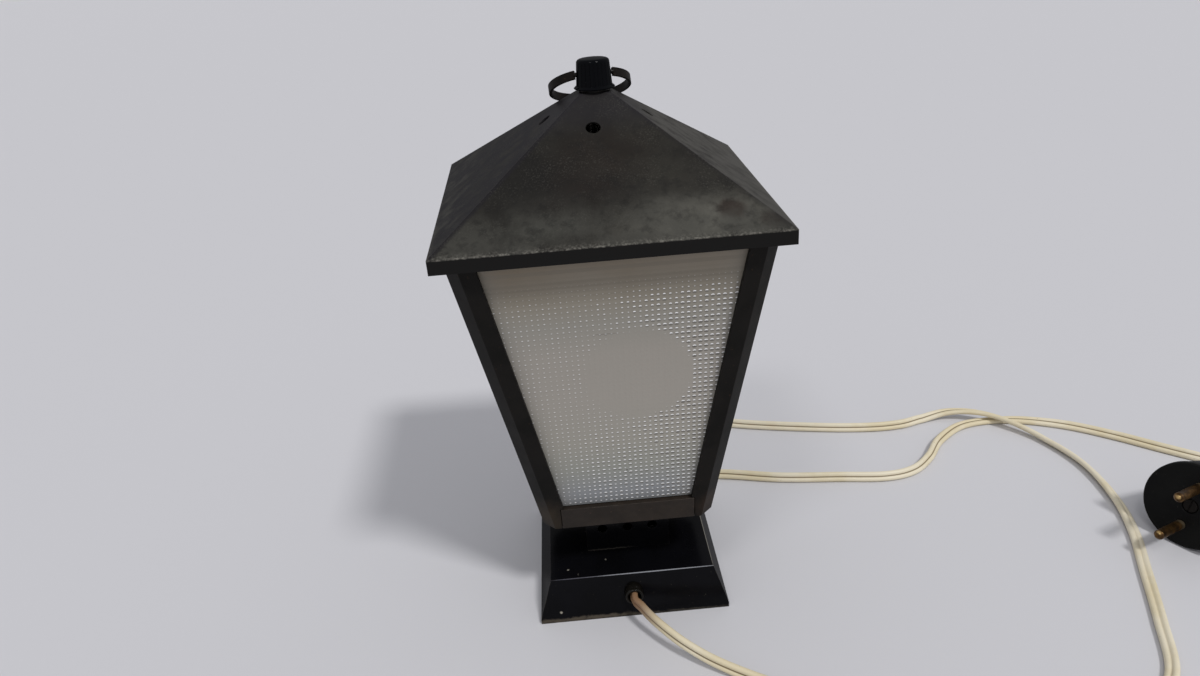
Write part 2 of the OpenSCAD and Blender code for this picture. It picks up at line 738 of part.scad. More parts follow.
module ring_bail() color("#2b2622") {
  translate([0, 0, pivot_z]) rotate([0, 0, knob_turned]) rotate([-ring_down, 0, 0]) {
    translate([0, ring_back, 0]) rotate([0, 0, ring_gap - 90]) rotate_extrude(angle = 360 - 2 * ring_gap)
      translate([ring_r - strip_t / 2, -strip_w / 2]) square([strip_t, strip_w]);
    for (s = [-1, 1]) translate([s * (pivot_half + 0.5), 0, 0]) rotate([0, -90 * s, 0])
      cylinder(r = pivot_d / 2, h = pivot_half - insert_r - 0.3);
  }
}

// Everything on the leaning holder, measured from its bracket's upper plate
module leaning() {
  translate([0, 0, lean_z]) rotate([0, lean, 0]) children();
}

module holder_bracket() color("#7d7a70") {
  foot = neck_bolt_at + screw_d / 2 + 1.5;
  difference() {
    union() {
      translate([-foot, -foot, foot_z]) cube([2 * foot, 2 * foot, foot_t]);
      leaning() translate([-shelf_len / 2, -shelf_w / 2, 0]) cube([shelf_len, shelf_w, shelf_t]);
      translate([-shelf_len / 2, -shelf_w / 2, foot_z + foot_t / 2])
        cube([1, shelf_w, lean_z - foot_z + shelf_len / 2 * sin(lean)]);
    }
    at_corners(neck_bolt_at) translate([0, 0, foot_z - past])
      cylinder(r = screw_d / 2 + running, h = 3 * past);
    translate([0, wire_at, foot_z - past]) cylinder(r = wire_hole_r, h = 3 * past);
    leaning() translate([0, 0, -past]) cylinder(r = 1.5 + running, h = 3 * past);
  }
}

module holder_rivet() color("#b08d4c") leaning() {
  translate([0, 0, -0.6]) cylinder(r = 1.5, h = shelf_t + 4);
  translate([0, 0, -0.6 - seam]) cylinder(r = 2.6, h = 0.6);
  translate([0, 0, holder_s + 2 + seam]) cylinder(r = 2.8, h = 0.8);
}

module holder_body() color("#d8d2c2") leaning() {
  r = holder_d / 2;
  bore = shell_in + shell_t + seam;
  difference() {
    translate([0, 0, holder_s]) rotate_extrude()
      polygon([[0, 0], [r - 1, 0], [r, 1], [r, 16], [r - 1.5, 17.5], [r - 1.5, holder_l - 1],
        [r - 2.5, holder_l], [0, holder_l]]);
    translate([0, 0, holder_s + 2]) cylinder(r = bore, h = holder_l);
    translate([0, 0, -past]) cylinder(r = 1.5 + running, h = 5);
    for (s = [-1, 1])
      translate([s * terminal_x - terminal / 2 - seam, r - terminal, holder_s + terminal_up])
        cube([terminal + 2 * seam, terminal + past, terminal + terminal_screw_h + 2 * seam]);
  }
}

module screw_shell() color("#b08d4c") leaning() {
  z0 = holder_s + 8;
  translate([0, 0, z0]) difference() {
    union() {
      cylinder(r = shell_in + shell_t, h = holder_l - 9);
      cylinder(r = shell_in + shell_t, h = 1);
    }
    translate([0, 0, 1]) cylinder(r = shell_in, h = holder_l);
    translate([0, 0, -past]) cylinder(r = 4.5, h = 4 * past);
  }
}

module spring_contact() color("#b08d4c") leaning() {
  translate([-1.5, -7, holder_s + 2 + seam]) cube([3, 3.5, 0.5]);
  translate([-1.5, -4, holder_s + 2 + seam]) cube([3, 0.5, cap_s - holder_s - 2.6 - seam]);
  translate([-1.5, -4, cap_s - 1.1]) cube([3, 6, 0.5]);
}

module holder_terminals() color("#b08d4c") leaning() {
  for (s = [-1, 1]) translate([s * terminal_x, holder_d / 2 - terminal + seam, holder_s + terminal_up + seam]) {
    translate([-terminal / 2, 0, 0]) cube([terminal, terminal - 0.4, terminal]);
    translate([0, terminal / 2, terminal]) cylinder(r = 1.2, h = terminal_screw_h);
  }
}

// One inner wire, s = -1 or 1: from the clamp, up the wire hole, to its terminal
function wire_line(s) =
  let (
    up = holder_s + terminal_up + terminal / 2,
    end = [s * terminal_x + sin(lean) * up, holder_d / 2 + wire_r + 0.2, lean_z + up - s * 0.5]
  )
  smooth([
    cord_start + [s * cord_w / 4, 2 * seam, 0], cord_start + [s * cord_w / 4, 4, 0],
    [s * 1.4, 0, outlet_z - 1.5], [s * 1.4, 7, outlet_z - 0.5], [s * 1.4, wire_at - 0.7, outlet_z + 2.5],
    [s * 1.4, wire_at, base_h], [s * 1.5, wire_at + 1.5, foot_z + 2],
    [s * 2.8, holder_d / 2 + wire_r + 0.5, foot_z + 4.6], end
  ], 3);
module inner_wires() color("#c9c2a8") {
  for (s = [-1, 1]) wire_tube(wire_line(s));
}

// A round tube whose outlines turn with the line, so that it may stand upright
module wire_tube(p) {
  m = len(wire_outline);
  n = len(p);
  points = [
    for (i = [0:n - 1])
      let (t = heading(p, i), side = [1, 0, 0] - t[0] * t, u = side / norm(side), v = cross(t, u))
      for (q = wire_outline) p[i] + q[0] * u + q[1] * v
  ];
  sides = [
    for (i = [0:n - 2], j = [0:m - 1])
      let (a = i * m + j, b = i * m + (j + 1) % m) each [[a, a + m, b], [b, a + m, b + m]]
  ];
  polyhedron(points = points, faces = concat(sides, [[for (j = [0:m - 1]) j]],
    [[for (j = [m - 1:-1:0]) (n - 1) * m + j]]));
}

module bulb_glass() color("#e9e8e4") leaning() {
  r = ball_d / 2;
  neck_r = cap_r - 0.1;
  join = acos((neck_r + 2) / r);
  difference() {
    translate([0, 0, ball_s]) rotate_extrude($fn = 64)
      polygon([[0, r], for (a = [80:-10:-join + 1]) [r * cos(a), r * sin(a)], [neck_r + 2, -r * sin(join)],
        [neck_r + 0.4, -r * sin(join) - 3], [neck_r, -bulb_l + cap_l + 0.1], [0, -bulb_l + cap_l + 0.1]]);
    translate([0, 0, ball_s]) rotate_extrude($fn = 64)
      polygon([[0, r - 0.8], for (a = [80:-10:-join + 1]) [(r - 0.8) * cos(a), (r - 0.8) * sin(a)],
        [neck_r + 1, -r * sin(join) + 0.4], [neck_r - 1, -r * sin(join) - 3],
        [neck_r - 1, -bulb_l + cap_l + 1], [0, -bulb_l + cap_l + 1]]);
  }
}

module bulb_cap() color("#b9b7ae") leaning() {
  translate([0, 0, cap_s]) difference() {
    rotate_extrude()
      polygon([[3.6, 1.6], [cap_r - 1.4, 2.2], [cap_r, 4], [cap_r, cap_l], [cap_r - 0.4, cap_l],
        [cap_r - 0.4, 4.4], [cap_r - 1.6, 2.7], [3.6, 2.1]]);
  }
}

module bulb_contact() color("#2c2a2a") leaning() {
  translate([0, 0, cap_s]) {
    cylinder(r1 = 2, r2 = 3.55, h = 1.7);
    translate([0, 0, 1.7 - seam]) cylinder(r = 3.55, h = 1.2);
    translate([0, 0, -0.5]) cylinder(r = 1.6, h = 0.6);
  }
}

module bulb_filament() color("#c9c9c9") leaning() {
  z0 = cap_s + cap_l + 1.1;
  translate([0, 0, z0]) cylinder(r1 = 3.4, r2 = 1.6, h = 16);
  for (s = [-1, 1]) {
    translate([0, 0, z0 + 15]) rotate([0, s * 30, 0]) cylinder(r = 0.3, h = 14);
  }
  translate([-filament_w / 2, 0, z0 + filament_up]) rotate([0, 90, 0]) cylinder(r = 0.4, h = filament_w);
}

module cord_to_coil() color("#d8cfae")
  swept(concat([cord_start], out_run, [coil_in]), cord_outline);

module cord_to_plug() color("#d8cfae")
  swept(concat([coil_out], in_run, [cord_end]), cord_outline);

module cord_coil() color("#d8cfae") {
  rings = [for (i = [0:len(coil_line) - 1]) ring_at(coil_line, i, coil_outline)];
  away = coil_rings / 2;
  gaps = [
    for (i = [0:len(rings) - 1 - away], j = [i + away:len(rings) - 1])
      if (norm(coil_line[i] - coil_line[j]) < 3 * cord_w)
        min([for (a = rings[i], b = rings[j]) norm(a - b)])
  ];
  echo(least_gap_in_coil = min(gaps));
  swept(coil_line, coil_outline);
}

// The plug's pieces, measured from the middle of its face, pins along +Z
module on_plug() {
  translate(plug_at) rotate([0, 90 - plug_up, plug_az]) rotate([0, 0, plug_roll]) children();
}

module plug_face() color("#1b1b1c") on_plug() {
  r = plug_d / 2;
  difference() {
    translate([0, 0, -plug_face_t]) rotate_extrude($fn = 96)
      polygon([[0, 0], [r, 0], [r, plug_face_t - 0.6], [r - 0.6, plug_face_t], [0, plug_face_t]]);
    for (s = [-1, 1]) translate([s * pin_pitch / 2, 0, -plug_face_t - past])
      cylinder(r = pin_d / 2 - 0.2 + seam, h = plug_face_t + 2 * past);
    translate([0, 0, -1.6]) cylinder(r = head_d / 2 + 0.5, h = 2);
    translate([0, 0, -plug_face_t - past]) cylinder(r = screw_d / 2 + running, h = plug_face_t + 2 * past);
  }
}

module plug_cover() color("#1b1b1c") on_plug() {
  r = plug_d / 2;
  rear = plug_rear_d / 2;
  room = plug_cover_l - 7;
  rib = 1.8;
  translate([0, 0, -plug_face_t - seam]) difference() {
    rotate_extrude($fn = 96)
      polygon([[0, 0], [r - 0.6, 0], [r - 0.8, -3], [rear, -plug_cover_l + 2.5],
        [rear - 2.5, -plug_cover_l], [0, -plug_cover_l]]);
    difference() {
      translate([0, 0, -room]) cylinder(r1 = rear - 5, r2 = r - 4.5, h = room + past);
      translate([-rib / 2, -r, -room - past]) cube([rib, 2 * r, room + past - seam]);
      translate([0, 0, -room - past]) cylinder(r = screw_d / 2 + 2.2, h = room + past - seam);
    }
    translate([0, 0, -plug_cover_l - past]) cylinder(r = cord_w / 2 + 2 + seam, h = 7 + past);
    translate([0, 0, -8]) cylinder(r = screw_d / 2 + running, h = 8 + past);
  }
}

module plug_pins() color("#b08d4c") on_plug() {
  for (s = [-1, 1]) translate([s * pin_pitch / 2, 0, 0]) {
    translate([0, 0, -plug_face_t - 5]) cylinder(r = pin_d / 2 - 0.2, h = plug_face_t + 5 + past);
    cylinder(r = pin_d / 2, h = pin_l - 1);
    translate([0, 0, pin_l - 1]) cylinder(r1 = pin_d / 2, r2 = pin_d / 2 - 1, h = 1);
  }
}

module plug_screw() color("#8a8a86") on_plug() {
  translate([0, 0, -1.6]) mirror([0, 0, 1]) difference() {
    union() {
      translate([0, 0, -1.2]) cylinder(r = head_d / 2, h = 1.2 - seam);
      translate([0, 0, -0.6]) cylinder(r = screw_d / 2, h = 9);
    }
    translate([-head_d, -0.35, -1.2 - past]) cube([2 * head_d, 0.7, past + 0.5]);
  }
}

module plug_sleeve() color("#26262a") on_plug() {
  r = cord_w / 2 + 2;
  translate([0, 0, -rear_l - sleeve_l]) difference() {
    union() {
      cylinder(r1 = cord_w / 2 + 0.8, r2 = r, h = sleeve_l);
      translate([0, 0, sleeve_l - past]) cylinder(r = r, h = sleeve_grip);
    }
    translate([0, 0, -past]) rotate([0, 0, 90 - plug_roll]) cord_slot(sleeve_l + 2 * past + sleeve_grip);
  }
}

// One side's piece turned to another side or corner
module turned(k) {
  rotate([0, 0, 90 * k]) children();
}

base_shell();
base_cover();
cover_screws();
cord_bush();
cord_clamp();
clamp_screws();
neck_housing();
neck_bolts();
neck_nuts();
floor_plate();
floor_screws();
floor_nuts();
turned(0) rail();  // rail_front
turned(1) rail();  // rail_right
turned(2) rail();  // rail_back
turned(3) rail();  // rail_left
turned(0) post();  // post_back_right
turned(1) post();  // post_back_left
turned(2) post();  // post_front_left
turned(3) post();  // post_front_right
turned(0) panel();  // panel_front
turned(1) panel();  // panel_right
turned(2) panel();  // panel_back
turned(3) panel();  // panel_left
top_frame();
top_strap();
strap_screws();
roof_stud();
stud_nuts();
roof();
knob_washer();
finial_knob();
knob_insert();
ring_bail();
holder_bracket();
holder_rivet();
holder_body();
screw_shell();
spring_contact();
holder_terminals();
inner_wires();
bulb_glass();
bulb_cap();
bulb_contact();
bulb_filament();
cord_to_coil();
cord_coil();
cord_to_plug();
plug_face();
plug_cover();
plug_pins();
plug_screw();
plug_sleeve();
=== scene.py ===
"""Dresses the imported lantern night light: its finishes, its cord and its finely shaped pieces.

All sizes are in millimetres and are turned to metres where a mesh is made. The lamp stands on
z = 0 under its own axis, with its front towards -Y.
"""

import logging
import math
from dataclasses import dataclass, field
from enum import Enum
from functools import reduce
from typing import Iterable, Sequence

import bmesh
import bpy
from mathutils import Matrix, Vector


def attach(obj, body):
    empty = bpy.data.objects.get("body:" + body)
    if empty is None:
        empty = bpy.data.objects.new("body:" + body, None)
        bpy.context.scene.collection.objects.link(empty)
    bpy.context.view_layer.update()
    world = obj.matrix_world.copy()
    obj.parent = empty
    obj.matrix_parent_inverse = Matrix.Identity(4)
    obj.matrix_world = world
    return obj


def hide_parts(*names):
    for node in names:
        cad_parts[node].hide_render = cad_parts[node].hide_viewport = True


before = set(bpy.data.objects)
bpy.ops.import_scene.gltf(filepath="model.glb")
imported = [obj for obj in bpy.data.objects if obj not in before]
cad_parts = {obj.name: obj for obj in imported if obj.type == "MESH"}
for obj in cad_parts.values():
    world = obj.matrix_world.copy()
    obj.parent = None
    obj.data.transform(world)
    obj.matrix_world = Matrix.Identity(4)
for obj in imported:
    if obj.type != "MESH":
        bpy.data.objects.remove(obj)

Point = tuple[float, float, float]
Stop = tuple[float, float, float, float]
Fade = tuple[float, ...]  # A start, an end and, unless it is 1, the share at the end
Tree = bpy.types.NodeTree
Socket = bpy.types.NodeSocket
Sockets = bpy.types.bpy_prop_collection
Piece = bpy.types.Object
Material = bpy.types.Material

LOG = logging.getLogger("lantern")
MM = 0.001
SIDES = ("front", "right", "back", "left")
MERGE = 1e-6  # Metres between points of a copied node that become one
FLAT = math.radians(0.5)  # Faces that meet at less than this become one
SHARP = math.radians(25)  # Edges sharper than this are rounded
CREASE = math.radians(3)  # Dots and their sheet meet at more than this


# Small helpers


def linear(code: str) -> tuple[float, float, float, float]:
    """Turns an sRGB hex colour such as "2e2d29" into linear values.

    Args:
        code: Six hex digits.

    Returns:
        Red, green, blue and a full alpha.
    """
    parts = [int(code[i:i + 2], 16) / 255 for i in (0, 2, 4)]
    return (*[c / 12.92 if c <= 0.04045 else ((c + 0.055) / 1.055) ** 2.4 for c in parts], 1.0)


def add(tree: Tree, kind: str, inputs: dict | None = None, **settings: object) -> bpy.types.Node:
    """Adds one node with its settings, values and links.

    Args:
        tree: The node tree.
        kind: The node's Blender type name.
        inputs: Values or output sockets by input name or number.
        settings: Properties of the node. stops fills a colour ramp with (place, colour) pairs.

    Returns:
        The new node.
    """
    node = tree.nodes.new(kind)
    for name, value in settings.items():
        if name == "stops":
            ramp = node.color_ramp
            while len(ramp.elements) < len(value):
                ramp.elements.new(0.5)
            for element, (place, colour) in zip(ramp.elements, value):
                element.position = place
                element.color = colour
        else:
            setattr(node, name, value)
    for key, value in (inputs or {}).items():
        if isinstance(value, Socket):
            tree.links.new(value, node.inputs[key])
        else:
            node.inputs[key].default_value = value
    return node


def maths(tree: Tree, operation: str, *values: object) -> Socket:
    """Adds one sum on one to three numbers and returns its result."""
    return add(tree, "ShaderNodeMath", dict(enumerate(values)), operation=operation).outputs[0]


def placed(name: str, data: bpy.types.ID) -> Piece:
    """Makes an object for some data and links it to the scene.

    Args:
        name: The object's name.
        data: Its mesh, camera or light.

    Returns:
        The new object.
    """
    made = bpy.data.objects.new(name, data)
    bpy.context.scene.collection.objects.link(made)
    return made


def mesh_object(name: str, points: Iterable[Sequence[float]], faces: Iterable[Sequence[int]]) -> Piece:
    """Makes a smooth-shaded object at the origin from points in metres.

    Args:
        name: The object's name.
        points: Its points.
        faces: Point numbers of each face, seen anticlockwise from outside.

    Returns:
        The object, linked to the scene.
    """
    mesh = bpy.data.meshes.new(name)
    mesh.from_pydata([tuple(p) for p in points], [], [tuple(f) for f in faces])
    mesh.shade_smooth()
    return placed(name, mesh)


def paint(made: Piece, material: Material) -> None:
    """Gives an object one material."""
    made.data.materials.clear()
    made.data.materials.append(material)


def settle(made: Piece, body: str, nodes: Sequence[str]) -> Piece:
    """Tells the frame where a piece belongs and logs it.

    Args:
        made: The piece.
        body: The body that it moves with.
        nodes: The nodes that it replaces.

    Returns:
        The same piece.
    """
    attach(made, body)
    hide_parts(*nodes)
    LOG.info("%s rides on %s", made.name, body)
    return made


def evaluated(made: Piece) -> Piece:
    """Applies an object's modifiers to its mesh.

    Args:
        made: The object, with its modifiers still live.

    Returns:
        The same object, with a plain mesh and no modifiers.
    """
    graph = bpy.context.evaluated_depsgraph_get()
    plain = bpy.data.meshes.new_from_object(made.evaluated_get(graph))
    made.modifiers.clear()
    made.data = plain
    return made


def rounded(node: str, name: str, radius: float, segments: int = 2) -> Piece:
    """Copies a node as one clean mesh and rounds its edges.

    Args:
        node: The node to copy.
        name: The new object's name.
        radius: The edges' radius in millimetres.
        segments: Steps across each rounded edge.

    Returns:
        The new object.
    """
    shape = bmesh.new()
    shape.from_mesh(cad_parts[node].data)
    bmesh.ops.remove_doubles(shape, verts=shape.verts, dist=MERGE)
    bmesh.ops.dissolve_limit(
        shape, angle_limit=FLAT, verts=shape.verts, edges=shape.edges, use_dissolve_boundaries=False
    )
    mesh = bpy.data.meshes.new(name)
    shape.to_mesh(mesh)
    shape.free()
    mesh.shade_smooth()
    made = placed(name, mesh)
    bevel = made.modifiers.new("edges", "BEVEL")
    bevel.width = radius * MM
    bevel.segments = segments
    bevel.limit_method = "ANGLE"
    bevel.angle_limit = SHARP
    even = made.modifiers.new("even", "WEIGHTED_NORMAL")
    even.weight = 90
    return evaluated(made)


def formed(node: str, edge: float, finish: Material, body: str, segments: int = 2) -> Piece:
    """Rounds one node's edges, dresses it and settles it.

    Args:
        node: The node to replace.
        edge: The edges' radius in millimetres.
        finish: Its material.
        body: The body that it moves with.
        segments: Steps across each rounded edge.

    Returns:
        The new object.
    """
    made = rounded(node, f"formed_{node}", edge, segments)
    paint(made, finish)
    return settle(made, body, [node])


def outward(made: Piece) -> None:
    """Turns a closed mesh's faces outwards.

    Args:
        made: The object whose mesh is turned.
    """
    shape = bmesh.new()
    shape.from_mesh(made.data)
    bmesh.ops.recalc_face_normals(shape, faces=shape.faces)
    shape.to_mesh(made.data)
    shape.free()


# Finishes


class Wear(Enum):
    """How an edge has aged: the most that its worn colour covers."""

    NONE = 0.0
    RUBBED = 0.55
    BARE = 0.9


@dataclass(frozen=True)
class Mark:
    """One stain, scuff, scratch, painted highlight or painted sheen.

    It has a middle, a reach each way, a colour, a share of it at the middle, the size of its ragged
    edge in millimetres, and a softness from 0, sharp, to 1, fading from the middle out.
    """

    at: Point
    reach: Point
    colour: str
    share: float = 0.8
    ragged: float = 1.0
    soft: float = 0.3


@dataclass(frozen=True)
class Patches:
    """Uneven patches: their size in millimetres, how finely they are torn, and where they fade in.

    The fade runs over the values of a noise, from start to end, and ends at share.
    """

    size: float
    detail: float
    start: float
    end: float
    share: float = 1.0


class Shading:
    """One material in the making: its tree and the steps that its colours are made of."""

    def __init__(self, name: str) -> None:
        """Starts the material.

        Args:
            name: Its name.
        """
        self.material = bpy.data.materials.new(name)
        self.material.use_nodes = True
        self.tree = self.material.node_tree
        self.tree.nodes.clear()
        self.place = self.add("ShaderNodeTexCoord").outputs["Object"]

    def add(self, kind: str, inputs: dict | None = None, **settings: object) -> bpy.types.Node:
        """Adds one node to the material."""
        return add(self.tree, kind, inputs, **settings)

    def sum(self, operation: str, *values: object) -> Socket:
        """One sum on numbers."""
        return maths(self.tree, operation, *values)

    def product(self, *values: object) -> Socket:
        """The product of two or more numbers."""
        return reduce(lambda a, b: self.sum("MULTIPLY", a, b), values)

    def vector(self, operation: str, *values: object) -> Sockets:
        """The results of one sum on vectors."""
        return self.add("ShaderNodeVectorMath", dict(enumerate(values)), operation=operation).outputs

    def axes(self, vector: Socket) -> Sockets:
        """A vector's three parts."""
        return self.add("ShaderNodeSeparateXYZ", {0: vector}).outputs

    def uv(self, name: str) -> Sockets:
        """The parts of one of the piece's own maps."""
        return self.axes(self.add("ShaderNodeUVMap", uv_map=name).outputs[0])

    def noise(self, size: float, detail: float) -> Socket:
        """A noise whose marks are about size millimetres wide.

        Args:
            size: The width of a mark, in millimetres.
            detail: How many finer layers lie on it.

        Returns:
            The noise from 0 to 1.
        """
        return self.add("ShaderNodeTexNoise", {
            "Vector": self.place, "Scale": 0.6 / (size * MM), "Detail": detail, "Roughness": 0.62,
        }).outputs["Fac"]

    def range(self, value: Socket, spread: Fade, results: Fade) -> Socket:
        """A straight change of a value's spread into results.

        Args:
            value: The value to change.
            spread: Its start and end.
            results: What they become.

        Returns:
            The changed value.
        """
        return self.add("ShaderNodeMapRange", {
            "Value": value, "From Min": spread[0], "From Max": spread[1], "To Min": results[0], "To Max": results[1],
        }).outputs["Result"]

    def step(self, value: Socket, start: float, end: float, top: float = 1.0) -> Socket:
        """A smooth step of a value from 0 at start to top at end.

        Args:
            value: The value to read.
            start: Where the step begins.
            end: Where it ends.
            top: The result past its end.

        Returns:
            The stepped value.
        """
        return self.add("ShaderNodeMapRange", {
            "Value": value, "From Min": start, "From Max": end, "To Min": 0.0, "To Max": top,
        }, interpolation_type="SMOOTHSTEP").outputs["Result"]

    def fade(self, value: Socket, fade: Fade, zero: float = 0.0) -> Socket:
        """A smooth step of a length, with the fade's millimetres counted from zero."""
        start, end, *top = fade
        return self.step(value, (zero + start) * MM, (zero + end) * MM, *top)

    def patches(self, patches: Patches) -> Socket:
        """How much of a place uneven patches cover."""
        return self.step(self.noise(patches.size, patches.detail), patches.start, patches.end, patches.share)

    def over(self, share: Socket, under: object, colour: str) -> Socket:
        """Lays a colour over what is under it, by a share."""
        return self.add("ShaderNodeMix", {"Factor": share, 6: under, 7: linear(colour)}, data_type="RGBA").outputs[2]


@dataclass(frozen=True)
class Finish:
    """A surface with patches, flecks, worn edges, single marks and a fine grain.

    The sizes are those of the real marks, in millimetres.
    """

    name: str
    base: str
    patch: str
    fleck: str = "000000"
    worn: str = "808080"
    patch_size: float = 14.0
    patch_share: float = 0.5
    fleck_size: float = 0.7
    fleck_share: float = 0.0
    grain_size: float = 0.35
    edge: Wear = Wear.NONE
    edge_radius: float = 0.5
    rub_size: float = 2.2
    metal: float = 0.0
    rough: tuple[float, float] = (0.45, 0.6)
    relief: float = 0.02
    coat: float = 0.0
    coat_rough: float = 0.18
    ior: float = 1.5
    specular: float = 0.5
    marks: tuple[Mark, ...] = ()

    def build(self) -> Material:
        """Builds the material.

        Returns:
            The finished material.
        """
        mat = Shading(self.name)
        colour = self.colours(mat)
        grain = mat.noise(self.grain_size, 3.0)
        bump = mat.add("ShaderNodeBump", {"Height": grain, "Distance": self.relief * MM, "Strength": 1.0})
        shader = mat.add("ShaderNodeBsdfPrincipled", {
            "Base Color": colour, "Roughness": self.roughness(mat), "Metallic": self.metal,
            "Normal": bump.outputs["Normal"], "IOR": self.ior, "Specular IOR Level": self.specular,
            "Coat Weight": self.coat, "Coat Roughness": self.coat_rough,
        })
        mat.add("ShaderNodeOutputMaterial", {"Surface": shader.outputs["BSDF"]})
        return mat.material

    def roughness(self, mat: Shading) -> Socket | float:
        """Duller and glossier patches, a little smaller than those of the colour."""
        return mat.range(mat.noise(self.patch_size * 0.6, 6.0), (0.3, 0.7), self.rough)

    def edge_mask(self, mat: Shading) -> Socket:
        """How sharply the surface turns near a point.

        Args:
            mat: The material in the making.

        Returns:
            A socket near 0 on a flat place, and higher on an edge.
        """
        soft = mat.add("ShaderNodeBevel", {"Radius": self.edge_radius * MM}, samples=4)
        true = mat.add("ShaderNodeNewGeometry")
        same = mat.vector("DOT_PRODUCT", soft.outputs["Normal"], true.outputs["True Normal"])
        return mat.sum("SUBTRACT", 1.0, same["Value"])

    def colours(self, mat: Shading) -> Socket:
        """Mixes the finish's colours.

        Args:
            mat: The material in the making.

        Returns:
            The colour socket.
        """
        middle = 0.62 - 0.24 * self.patch_share  # The noise value that this share of the surface lies above
        share = mat.patches(Patches(self.patch_size, 7.0, middle - 0.1, middle + 0.12))
        colour = mat.over(share, linear(self.base), self.patch)
        if self.fleck_share > 0:
            start = 0.74 - 0.2 * self.fleck_share  # Few places of the noise are this high
            colour = mat.over(mat.patches(Patches(self.fleck_size, 2.0, start, start + 0.05)), colour, self.fleck)
        if self.edge is not Wear.NONE:
            near = mat.step(self.edge_mask(mat), 0.02, 0.3)
            patchy = mat.patches(Patches(self.rub_size, 5.0, 0.42, 0.62, self.edge.value))
            colour = mat.over(mat.product(near, patchy), colour, self.worn)
        return self.marked(mat, colour)

    def marked(self, mat: Shading, colour: Socket) -> Socket:
        """Paints the single marks over a colour, each with a ragged edge.

        Args:
            mat: The material in the making.
            colour: The colour under the marks.

        Returns:
            The colour socket.
        """
        for mark in self.marks:
            stir = mat.add("ShaderNodeTexNoise", {
                "Vector": mat.place, "Scale": 0.3 / (mark.ragged * MM), "Detail": 5.0, "Roughness": 0.65,
            })
            shift = mat.vector("SUBTRACT", stir.outputs["Color"], (0.5, 0.5, 0.5))
            moved = mat.vector("MULTIPLY_ADD", shift[0], (4 * mark.ragged * MM,) * 3, mat.place)
            off = mat.vector("SUBTRACT", moved[0], tuple(v * MM for v in mark.at))
            scaled = mat.vector("DIVIDE", off[0], tuple(v * MM for v in mark.reach))
            away = mat.vector("LENGTH", scaled[0])
            colour = mat.over(
                mat.step(away["Value"], 1 + mark.soft, 1 - mark.soft, mark.share), colour, mark.colour
            )
        return colour


